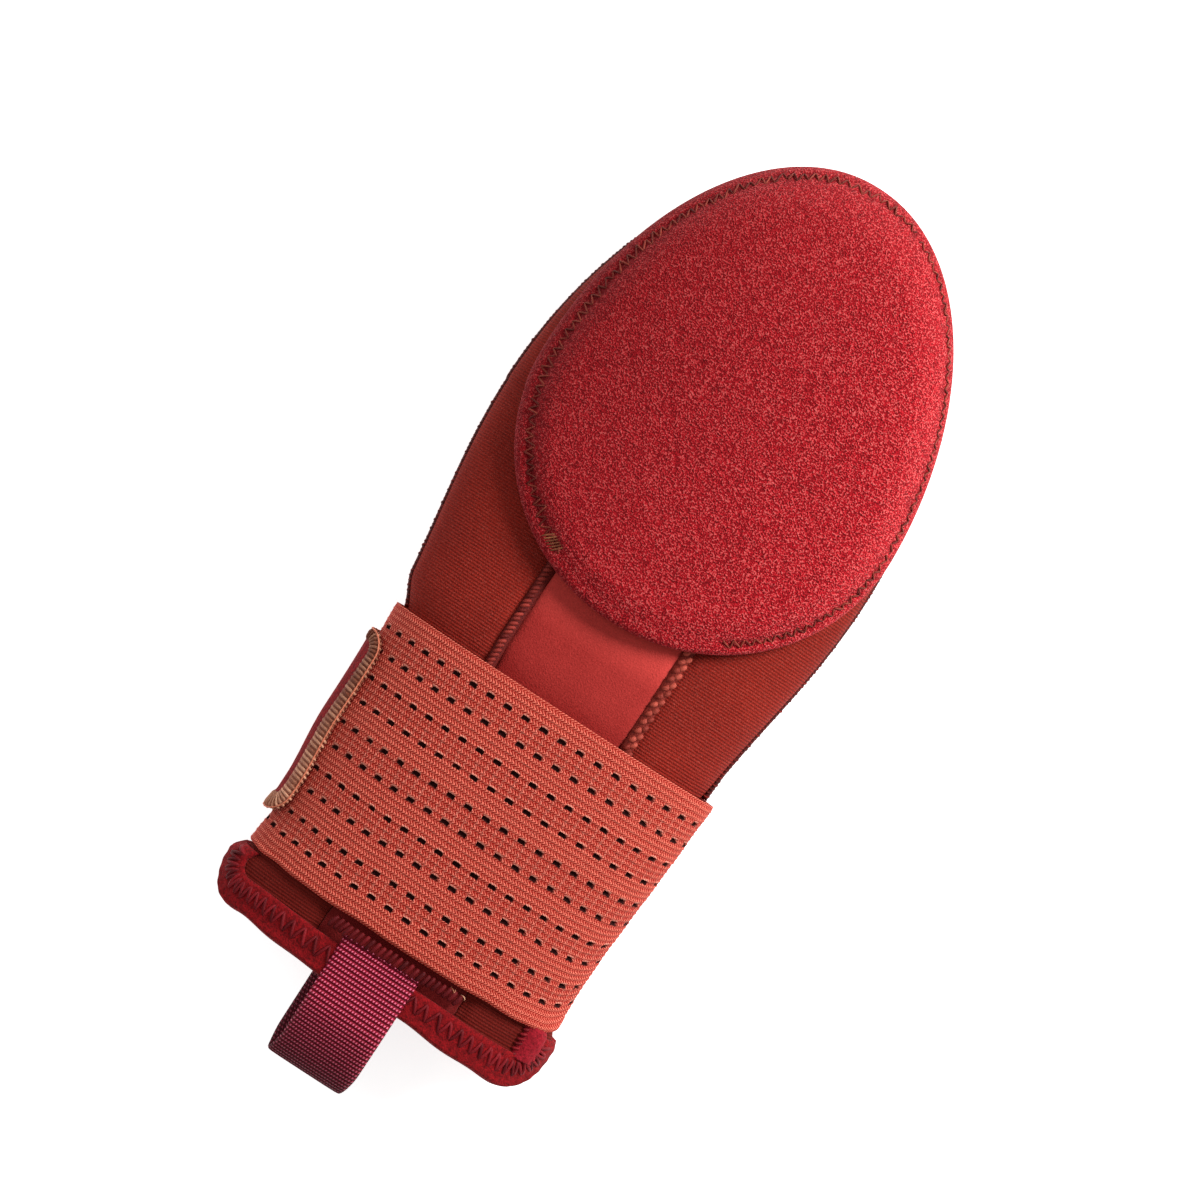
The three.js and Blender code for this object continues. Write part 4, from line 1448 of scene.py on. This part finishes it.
    def build(self) -> None:
        """Build and dress both hems."""
        for is_top, name, node in ((True, "front", "front_hem"), (False, "back", "back_hem")):
            self.dresser.piece(f"{name}_binding", self.band(is_top), self.binding, "hem_binding", (node,))
            self.dresser.piece(f"{name}_hem_zigzag", self.zigzag(is_top), self.thread, "seam_thread")
        self.dresser.piece("hem_corner_patch", self.corner_patch(), self.patch, "hem_binding")
        self.dresser.piece("hem_corner_stitches", self.corner_line(), self.thread, "seam_thread")
        self.dresser.piece("hem_loose_ends", self.loose_ends(), self.ends, "seam_thread")


@dataclass
class Strap:
    """The wide woven elastic round the wrist, with ribs and real slots."""

    dresser: Dresser
    elastic: bpy.types.Material
    thickness: float = 2.0
    stand_off: float = 1.4
    bow: float = 1.6
    sewn_end: float = -0.07
    free_end: float = 1.86
    slot_pitch: float = WovenElastic.slot_pitch
    stagger: float = 0.45 * WovenElastic.slot_pitch
    slot_length: float = 2.5
    slot_height: float = 1.15
    slot_depth: float = 0.9
    rib: float = WovenElastic.rib
    slot_rows: tuple[float, ...] = (7.2, 14.4, 22.0, 29.4, 37.2, 44.4, 52.5, 59.1, 67.3, 73.7)

    def seat(self, turn: Array) -> Array:
        """Return how far the inner face stands off the panels, more at the sides."""
        to_side = np.abs(turn - np.round(turn))
        return POCKET.clearance + self.stand_off * np.where(turn < 1.5, 1.0, 0.5) * ease(1 - to_side / 0.22)

    def wrap(self, turn: Array, y: Array, offset: Array) -> Array:
        """Return points round the wrist: 0 is the left seam, 1 the right, and the bottom lies beyond."""
        is_top = (turn >= 0) & (turn <= 1)
        return POCKET.skin(is_top, y, np.where(is_top, turn, np.minimum(np.abs(turn), 2 - turn)), offset)

    def runs(self) -> tuple[Array, Array]:
        """Return a table of turns and of the run along the outer face, counted from the left seam."""
        turns = np.linspace(self.sewn_end, self.free_end, 3000)
        middle_y = np.full(turns.shape, 60.0)
        run = run_along(self.wrap(turns, middle_y, self.seat(turns) + self.thickness))
        return turns, run - np.interp(0.0, turns, run)

    def low_edge(self, turn: Array) -> Array:
        """Return the y of the lower edge, which sags along the front and rises at its right end."""
        sag = self.bow * np.maximum(0.0, np.sin(np.pi * np.clip(turn, 0.0, 1.0)))
        ripple = 0.15 * np.sin(turn * 31.0) + 0.1 * np.sin(turn * 57.0 + 1.0)
        return POCKET.strap_from - sag + 4.5 * np.exp(-(((turn - 1.0) / 0.09) ** 2)) + ripple

    def slot_lines(self, centre: float) -> Array:
        """Return the places of the grid's lines at a slot: both lips of each of its two walls."""
        half = self.slot_length / 2
        return centre + np.array([-half - 0.07, -half + 0.07, 0.0, half - 0.07, half + 0.07])

    def columns(self) -> Array:
        """Return runs along the strap, with lines at the walls of every slot of both rows of a pair."""
        _, run = self.runs()
        first, last = np.floor(run[0] / self.slot_pitch) - 1, np.ceil(run[-1] / self.slot_pitch) + 1
        centres = np.arange(first, last) * self.slot_pitch
        upper, lower = self.slot_lines(0.0), self.slot_lines(self.stagger)
        spare = np.array([0.76 * self.slot_pitch])
        lines = np.sort((centres[:, None] + np.concatenate([upper, lower, spare])[None, :]).ravel())
        lines = lines[(lines > run[0] + 0.05) & (lines < run[-1] - 0.05)]
        return np.concatenate([[run[0]], lines, [run[-1]]])

    def falls(self) -> Array:
        """Return distances down from the top edge, two a rib, with lines at both lips of every slot."""
        width = POCKET.strap_to - POCKET.strap_from + self.bow
        half = self.slot_height / 2
        rows = np.array(self.slot_rows)
        lips = np.array([-half - 0.06, -half + 0.06, half - 0.06, half + 0.06])
        walls = rows[:, None] + lips
        plain = np.arange(self.rib / 2, width - 0.1, self.rib / 2)
        near = np.abs(plain[:, None] - rows[None, :]).min(axis=1)
        plain = plain[(near > half + 0.15) | (near < 0.2)]
        return np.sort(np.concatenate([[0.0, 0.15], plain, walls.ravel(), [width]]))

    def pits(self, run: Array, fall: Array) -> Array:
        """Return 1 inside a slot and 0 elsewhere."""
        inside = np.zeros(np.broadcast(run, fall).shape)
        for number, row in enumerate(self.slot_rows):
            shift = self.stagger * (number % 2)
            away = np.abs((run - shift + self.slot_pitch / 2) % self.slot_pitch - self.slot_pitch / 2)
            there = (away < self.slot_length / 2) & (np.abs(fall - row) < self.slot_height / 2)
            inside = np.maximum(inside, there)
        return inside

    def nets(self, fall: Array) -> Array:
        """Return 1 between the two rows of a pair and 0 elsewhere."""
        inside = np.zeros(fall.shape)
        for upper, lower in zip(self.slot_rows[::2], self.slot_rows[1::2]):
            under = ease_between(fall, upper - 0.4, upper)
            over = 1 - ease_between(fall, lower, lower + 0.4)
            inside = np.maximum(inside, under * over)
        return inside

    def body(self) -> Solid:
        """Return the elastic.

        Its outer face lies below the full thickness by 0.06 * (1 - cos(2 pi fall / rib)) for the ribs, by
        0.09 * (1 - cos(pi fall / rib)) for the pairs of them, and by the slots' depth inside them. It thins
        at both woven edges. The values near and lag are the distance down from the closest row of slots and
        that row's stagger. The inner face has few lines, closer together near the lower edge.
        """
        turns, table = self.runs()
        run = self.columns()[None, :]
        turn = np.interp(run, table, turns)
        fall = self.falls()[:, None]
        width = POCKET.strap_to - POCKET.strap_from + self.bow
        y = mix(POCKET.strap_to, self.low_edge(turn), fall / width)
        pit = self.pits(run, fall)
        rib = 0.06 * (1 - np.cos(2 * np.pi * fall / self.rib))
        rib = rib + 0.09 * (1 - np.cos(np.pi * fall / self.rib))
        to_edge = np.minimum(fall, width - fall)
        rows = np.array(self.slot_rows)
        closest = np.abs(fall - rows[None, :]).argmin(axis=1)
        near = fall - rows[closest][:, None]
        lag = self.stagger * (closest % 2)[:, None]
        dip = rib + self.slot_depth * pit + 0.5 * np.exp(-to_edge / 0.5) + 0.1 * self.nets(fall)
        outer = self.wrap(turn, y, self.seat(turn) + self.thickness - dip)
        share = 1.0 - np.linspace(1.0, 0.0, 17)[:, None] ** 1.3
        below = mix(POCKET.strap_to, self.low_edge(turn), share)
        inner = self.wrap(turn, below, self.seat(turn) + 0.0 * below)
        solid = closed_band(outer, inner)
        spare = np.zeros(inner.shape[0] * inner.shape[1])

        def spread(value: Array) -> Array:
            """Return a value for every point, with nothing on the inner face."""
            return np.concatenate([np.broadcast_to(value, outer.shape[:2]).ravel(), spare])

        solid.values = {
            "run": spread(run),
            "fall": spread(fall),
            "net": spread(self.nets(fall)),
            "near": spread(near),
            "lag": spread(lag),
        }
        solid.values["near"][-len(spare) :] = 9.0
        return solid

    def build(self) -> None:
        """Build and dress the strap."""
        self.dresser.piece("wrist_elastic", self.body(), self.elastic, "woven_elastic", ("elastic_strap",))


@dataclass
class ClosureTab:
    """The closing tab at the left side with its overlocked edge."""

    dresser: Dresser
    strap: Strap
    cloth: bpy.types.Material
    overlock: bpy.types.Material
    line: bpy.types.Material
    width: float = 59.0
    thickness: float = 1.6
    from_edge: float = 10.5
    front_reach: float = 9.5
    back_reach: float = 13.0
    corner: float = 6.0
    curl: float = 2.2
    far_curl: float = 0.6

    @property
    def middle_y(self) -> float:
        """Return the y of the tab's middle."""
        return POCKET.strap_from + self.from_edge + self.width / 2

    def place(self, length: Array, y: Array, height: Array) -> Array:
        """Return points by a length from the left seam, a station and a height over the strap."""
        shape = length.shape
        flat, station = length.ravel(), np.broadcast_to(y, shape).ravel()
        front = POCKET.turn_at_length(True, station, np.maximum(flat, 0.0))
        back = POCKET.turn_at_length(False, station, np.maximum(-flat, 0.0))
        turn = np.where(flat > 0, front, -back)
        from_middle = 2 * (station - self.middle_y) / self.width
        curl = np.where(from_middle < 0, self.curl, self.far_curl) * ease_between(flat, -8.0, 0.0)
        offset = self.strap.seat(turn) + self.strap.thickness + POCKET.clearance + curl * from_middle**4
        offset = offset + np.broadcast_to(height, shape).ravel()
        return self.strap.wrap(turn, station, offset).reshape(*shape, 3)

    def rim(self, steps: int) -> tuple[Array, Array, Array]:
        """Return the rectangle with round corners, at even runs: a centre for each point and its direction.

        Args:
            steps: Number of points round it.

        Returns:
            Lengths and widths of the centres of the corners' circles, and the outward angles.
        """
        half_long = (self.front_reach + self.back_reach) / 2 - self.corner
        half_wide = self.width / 2 - self.corner
        quarter = self.corner * np.pi / 2
        sides = np.array([2 * half_wide, quarter, 2 * half_long, quarter] * 2)
        ends = np.concatenate([[0.0], np.cumsum(sides)])
        run = np.arange(steps) * ends[-1] / steps
        part = np.clip(np.searchsorted(ends, run, side="right") - 1, 0, 7)
        share = (run - ends[part]) / sides[part]
        signs = np.array([[1, -1], [1, 1], [1, 1], [-1, 1], [-1, 1], [-1, -1], [-1, -1], [1, -1]])
        corners = signs[part] * np.array([half_long, half_wide])
        following = signs[(part + 1) % 8] * np.array([half_long, half_wide])
        straight = (part % 2 == 0)[:, None]
        centre = np.where(straight, mix(corners, following, share[:, None]), corners)
        angle = (part // 2) * np.pi / 2 + np.where(part % 2 == 1, share * np.pi / 2, 0.0)
        return centre[:, 0] + (self.front_reach - self.back_reach) / 2, centre[:, 1], angle

    def at(
        self, centre: tuple[Array, Array, Array], inset: Array, height: Array, share: Array = 1.0
    ) -> Array:
        """Return points over the strap, by their place in the tab.

        Args:
            centre: The corners' centres and directions, from rim().
            inset: Distance inside the rim.
            height: Height over the strap.
            share: Size of the ring of centres as a share of its full size.

        Returns:
            A row of points for each centre.
        """
        length, wide, angle = (part[:, None] for part in centre)
        radius = self.corner - inset
        middle = (self.front_reach - self.back_reach) / 2
        from_left = mix(middle, length, share) + radius * np.cos(angle)
        return self.place(from_left, self.middle_y + wide * share + radius * np.sin(angle), height)

    def slab(self) -> Solid:
        """Return the tab: rings from the middle of its face, over its rim, to the middle of its back."""
        centre = self.rim(150)
        inmost = self.corner - 0.1
        inset = np.array([inmost] * 4 + [3.0, 0.9, 0.3, 0.0, 0.3, 3.0] + [inmost] * 4)[None, :]
        share = np.array([0.02, 0.35, 0.7, 1.0] + [1.0] * 6 + [1.0, 0.7, 0.35, 0.02])[None, :]
        height = self.thickness * np.array([1.0] * 6 + [0.9, 0.5] + [0.0] * 6)[None, :]
        rings = self.at(centre, inset + 0.0 * centre[0][:, None], height, share)
        return swept(np.swapaxes(rings, 0, 1))

    def stitched(self, centre: tuple[Array, Array, Array]) -> Array:
        """Return how far in the overlock reaches, which is more at the tab's end by the cuff."""
        return mix(4.9, 2.9, 0.5 + centre[1] / self.width)[:, None]

    def teeth(self) -> Solid:
        """Return the overlock: threads side by side over the rim, from the face to the back."""
        centre = self.rim(104)
        t = np.linspace(0.0, 1.0, 9)
        reach = np.interp(t, [0.0, 0.55, 0.8, 1.0], [1.0, 0.16, -0.04, -0.02])[None, :]
        inset = reach * self.stitched(centre)
        height = np.interp(t, [0.0, 0.15, 0.55, 0.8, 1.0], [1.4, 1.9, 1.8, 0.9, 0.1])[None, :]
        wander = np.random.default_rng(21).normal(0.0, 0.12, (len(centre[0]), 1))
        paths = self.at(centre, inset + wander, height + 0.0 * wander)
        slant = np.roll(paths[:, :1], -1, axis=0) - paths[:, :1]
        paths = paths + slant * np.linspace(0.35, -0.25, 9)[None, :, None]
        return threads(paths, 0.46, 7, 0.9, 0.7)

    def bed(self) -> Solid:
        """Return the low roll of dark thread under the overlock, on which its teeth stand."""
        centre = self.rim(150)
        inset = np.array([1.04, 0.9, 0.18, -0.02, -0.02, 0.18, 0.9, 1.04])[None, :] * self.stitched(centre)
        height = np.array([1.5, 1.75, 1.75, 1.2, 0.4, 0.1, 0.1, 1.0])[None, :]
        return swept(self.at(centre, inset, height), goes_round=True).shaded(0.0)

    def edge_line(self) -> Solid:
        """Return the thin chain of thread that runs along the overlock's outer edge."""
        count = 240
        place = np.ones((count, 1))
        ring = self.at(self.rim(count), -0.35 * place, 1.5 * place)[:, 0]
        ahead = unit(np.roll(ring, -1, axis=0) - np.roll(ring, 1, axis=0))
        side = unit(np.cross(ahead, np.array([-1.0, 0.02, 0.6])))
        lift = np.cross(side, ahead)
        turn = np.linspace(0, 2 * np.pi, 8)[:-1][None, :, None]
        thick = (0.26 + 0.08 * np.cos(np.arange(count) * np.pi / 1.5))[:, None, None]
        rings = ring[:, None] + thick * (np.cos(turn) * side[:, None] + np.sin(turn) * lift[:, None])
        return swept(rings, goes_round=True).shaded(0.6)

    def build(self) -> None:
        """Build and dress the tab."""
        self.dresser.piece("closure_tab_cloth", self.slab(), self.cloth, "hem_binding", ("closure_tab",))
        edging = self.bed().joined(self.teeth())
        self.dresser.piece(
            "closure_overlock", edging, self.overlock, "tan_overlock", ("closure_tab_edging",)
        )
        self.dresser.piece("closure_chain", self.edge_line(), self.line, "tan_overlock")


@dataclass
class PullLoop:
    """The webbing loop at the cuff and the ladder of stitches that holds it."""

    dresser: Dresser
    webbing: bpy.types.Material
    thread: bpy.types.Material
    width: float = 25.0
    thickness: float = 1.4
    reach: float = 29.0
    droop: float = 11.0
    tuck: float = 12.0
    fold: float = 3.0
    bulge: float = 1.6
    skew: float = 2.4

    def line(self, steps: int) -> tuple[Array, Array]:
        """Return the middle line in y and z at even runs, with the runs.

        Control points lie on the front leg, the fold and the inner leg. The curve through them is the
        Catmull-Rom cubic.

        Args:
            steps: Number of points.

        Returns:
            Points by two, and the run at each.
        """
        outer = 2 * POCKET.clearance + CUFF.binding + self.thickness / 2
        inner = -POCKET.neoprene - outer - POCKET.clearance
        base = POCKET.skin(True, 0.0, 0.5, 0.0)
        middle, half = (outer + inner) / 2, (outer - inner) / 2
        bend = self.reach - self.fold
        front = [-self.tuck, -self.tuck / 2, 0.0, 0.3 * self.reach, 0.65 * self.reach, bend]
        rise = [half, half, half, half + self.bulge, self.fold + self.bulge, self.fold]
        out = np.array([*front, self.reach, *front[::-1]])
        up = middle + np.array([*rise, 0.0, *(-value for value in rise[::-1])])
        droop = self.droop * (np.maximum(out, 0) / self.reach) ** 1.5
        knots = np.stack([base[1] - out, base[2] + up - droop], axis=1)
        knots = np.concatenate([2 * knots[:1] - knots[1:2], knots, 2 * knots[-1:] - knots[-2:-1]])
        t = np.linspace(0.0, len(out) - 1.0001, 1200)
        i = t.astype(int)
        s = (t - i)[:, None]
        a, b, c, d = (knots[i + later] for later in range(4))
        bent = (2 * a - 5 * b + 4 * c - d) * s**2 + (3 * b - a - 3 * c + d) * s**3
        return evenly(0.5 * (2 * b + (c - a) * s + bent), steps)

    def body(self) -> Solid:
        """Return the webbing, with a rib for each weft on both faces.

        Between the ribs a face is 0.3 * (1 - cos(2 pi run / weft)) / 2 deep.
        """
        middle, run = self.line(480)
        ahead = unit(np.gradient(middle, axis=0))
        normal = np.stack([-ahead[:, 1], ahead[:, 0]], axis=1)
        if normal[0, 1] < 0:
            normal = -normal
        across = np.linspace(-1.0, 1.0, 85)[:, None]
        x = across * self.width / 2
        rib = 0.5 + 0.5 * np.cos(2 * np.pi * run / Webbing.weft)[None, :]
        edge = 1 - np.abs(across) ** 30
        half = self.thickness / 2 * np.sqrt(np.clip(edge, 0.03, 1)) - 0.3 * (1 - rib)
        camber = 0.3 * across**2 + 0.7 * across**8
        skewed = x - self.skew * ease_between(run, run[-1] * 0.38, run[-1] * 0.62)[None, :]

        def face(sign: float) -> Array:
            """Return one face of the webbing."""
            y = middle[None, :, 0] + sign * half * normal[None, :, 0]
            z = middle[None, :, 1] + sign * half * normal[None, :, 1] - camber
            return np.stack([skewed + 0.0 * y, y, z], axis=-1)

        solid = closed_band(face(1.0), face(-1.0))
        lengths = np.broadcast_to(run[None, :], skewed.shape).ravel()
        widths = np.broadcast_to(x, skewed.shape).ravel()
        solid.values = {"run": np.tile(lengths, 2), "across": np.tile(widths, 2)}
        return solid

    def ladder(self) -> Solid:
        """Return the row of stitches across the loop's top: slanted rungs between two rails."""
        x = np.arange(-17.0, 24.0, 1.75)[:, None]
        wander = np.random.default_rng(31).normal(0.0, 0.12, x.shape)
        t = np.linspace(-1.0, 1.0, 7)[None, :]
        over_loop = ease_between(self.width / 2 + 1.5 - np.abs(x), 0.0, 2.0)
        lift = POCKET.clearance + CUFF.binding + 0.25 + over_loop * (self.thickness + 0.2)
        y = 13.6 + 1.75 * t + wander
        paths = POCKET.on_top(x + 0.5 * t, y, lift + 0.35 * (1 - t**2) + 0.0 * y)
        return threads(paths, 0.7, 7, 0.8, 0.7)

    def build(self) -> None:
        """Build and dress the loop."""
        self.dresser.piece("pull_loop_webbing", self.body(), self.webbing, "webbing", ("pull_loop",))
        self.dresser.piece("pull_loop_stitches", self.ladder(), self.thread, "seam_thread")


class Lamp(Enum):
    """The studio's area lights: place, size, power, in metres and watts, along the camera's own axes."""

    KEY = (0.78, 0.30, 0.54, 0.5, 13.5)
    FILL = (-1.0, 0.8, 1.8, 1.2, 6.0)


@dataclass(frozen=True)
class Studio:
    """Pale floor, soft light and the camera straight above, turned as in the photo."""

    roll: float = 33.0
    centre: tuple[float, float] = (-3.6, 131.0)
    level: float = 30.0
    distance: float = 900.0
    frame_width: float = 343.2

    def along(self, right: float, up: float) -> tuple[float, float]:
        """Return the floor's x and y of a place given along the image's right and up."""
        turn = np.radians(self.roll)
        return right * np.cos(turn) - up * np.sin(turn), right * np.sin(turn) + up * np.cos(turn)

    def camera(self) -> None:
        """Put the camera straight above the photo's middle."""
        data = bpy.data.cameras.new("photo_camera")
        data.sensor_fit = "HORIZONTAL"
        data.angle = 2 * np.arctan(self.frame_width / 2 / self.distance)
        made = bpy.data.objects.new("photo_camera", data)
        x, y = self.centre
        made.location = (x * MM, (y - POCKET.shift_y) * MM, (self.level + self.distance) * MM)
        made.rotation_euler = (0.0, 0.0, np.radians(self.roll))
        bpy.context.scene.collection.objects.link(made)
        bpy.context.scene.camera = made

    def lights(self) -> None:
        """Hang the soft lights and set the pale surroundings."""
        for lamp in Lamp:
            right, up, high, size, power = lamp.value
            data = bpy.data.lights.new(lamp.name.lower(), "AREA")
            data.shape = "DISK"
            data.size = size
            data.energy = power
            made = bpy.data.objects.new(lamp.name.lower(), data)
            x, y = self.along(right, up)
            made.location = (x, y, high)
            aim = np.array([x, y, high - 0.02])
            made.rotation_euler = (
                0.0,
                np.arctan2(np.hypot(aim[0], aim[1]), aim[2]),
                np.arctan2(aim[1], aim[0]),
            )
            bpy.context.scene.collection.objects.link(made)
        world = bpy.data.worlds.new("pale_room")
        world.use_nodes = True
        sky = world.node_tree.nodes["Background"]
        sky.inputs["Color"].default_value = (1.0, 0.99, 0.98, 1.0)
        sky.inputs["Strength"].default_value = 0.38
        bpy.context.scene.world = world

    def floor(self) -> None:
        """Lay the pale floor, wide enough to fill low views too."""
        mesh = bpy.data.meshes.new("studio_floor")
        half = 40.0
        corners = [(-half, -half, 0.0), (half, -half, 0.0), (half, half, 0.0), (-half, half, 0.0)]
        mesh.from_pydata(corners, [], [(0, 1, 2, 3)])
        tree = Tree("studio_floor")
        tree.join(tree.shader.inputs["Base Color"], (0.93, 0.93, 0.93))
        tree.join(tree.shader.inputs["Emission Color"], (1.0, 1.0, 1.0))
        tree.join(tree.shader.inputs["Emission Strength"], 0.72)
        tree.join(tree.shader.inputs["Roughness"], 0.9)
        mesh.materials.append(tree.material)
        made = bpy.data.objects.new("studio_floor", mesh)
        bpy.context.scene.collection.objects.link(made)

    def build(self) -> None:
        """Build the studio, with colours shown as they are."""
        self.camera()
        self.lights()
        self.floor()
        bpy.context.scene.view_settings.view_transform = "Standard"


def main() -> None:
    """Build the mitt's pieces in order."""
    logging.basicConfig(level=logging.INFO, format="%(message)s")
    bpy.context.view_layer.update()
    Studio().build()
    dresser = Dresser()
    knit = RibbedKnit("ribbed_knit").material()
    hem_thread = Thread("hem_thread", "48060b", "8a1820").material()
    # The tan thread's third colour is painted shade at the tab's far end.
    tan_thread = Thread("tan_thread", "843f2a", "eaae8c", "662a18").material()
    Panels(dresser, knit, PeachFuzz("peach_fuzz").material()).build()
    pad = GuardPad(
        dresser,
        TerryPile("terry_pile").material(),
        Thread("olive_thread", "480f0c", "943e30").material(),
        Thread("tack_thread", "4a1a12", "9c5c3c").material(),
    )
    pad.build()
    Seams(
        dresser,
        Thread("ladder_thread", "4c0a08", "a23a30").material(),
        Thread("rope_thread", "62120c", "bc5444").material(),
        Thread("overlock_thread", "3a0604", "7d180f").material(),
        pad,
    ).build()
    patch = BoundEdge("patch_pile", "640a12", "aa1a2a").material()
    Hems(dresser, BoundEdge("bound_edge").material(), patch, hem_thread, tan_thread).build()
    strap = Strap(dresser, WovenElastic("woven_elastic").material())
    strap.build()
    ClosureTab(
        dresser,
        strap,
        BoundEdge("tab_pile").material(),
        tan_thread,
        Thread("chain_thread", "b04a32", "e08a6a").material(),
    ).build()
    loop_thread = Thread("loop_thread", "3c0508", "741319").material()
    PullLoop(dresser, Webbing("webbing").material(), loop_thread).build()
    log.info("all pieces: %d triangles", dresser.triangles)


if __name__ == "__main__":
    main()
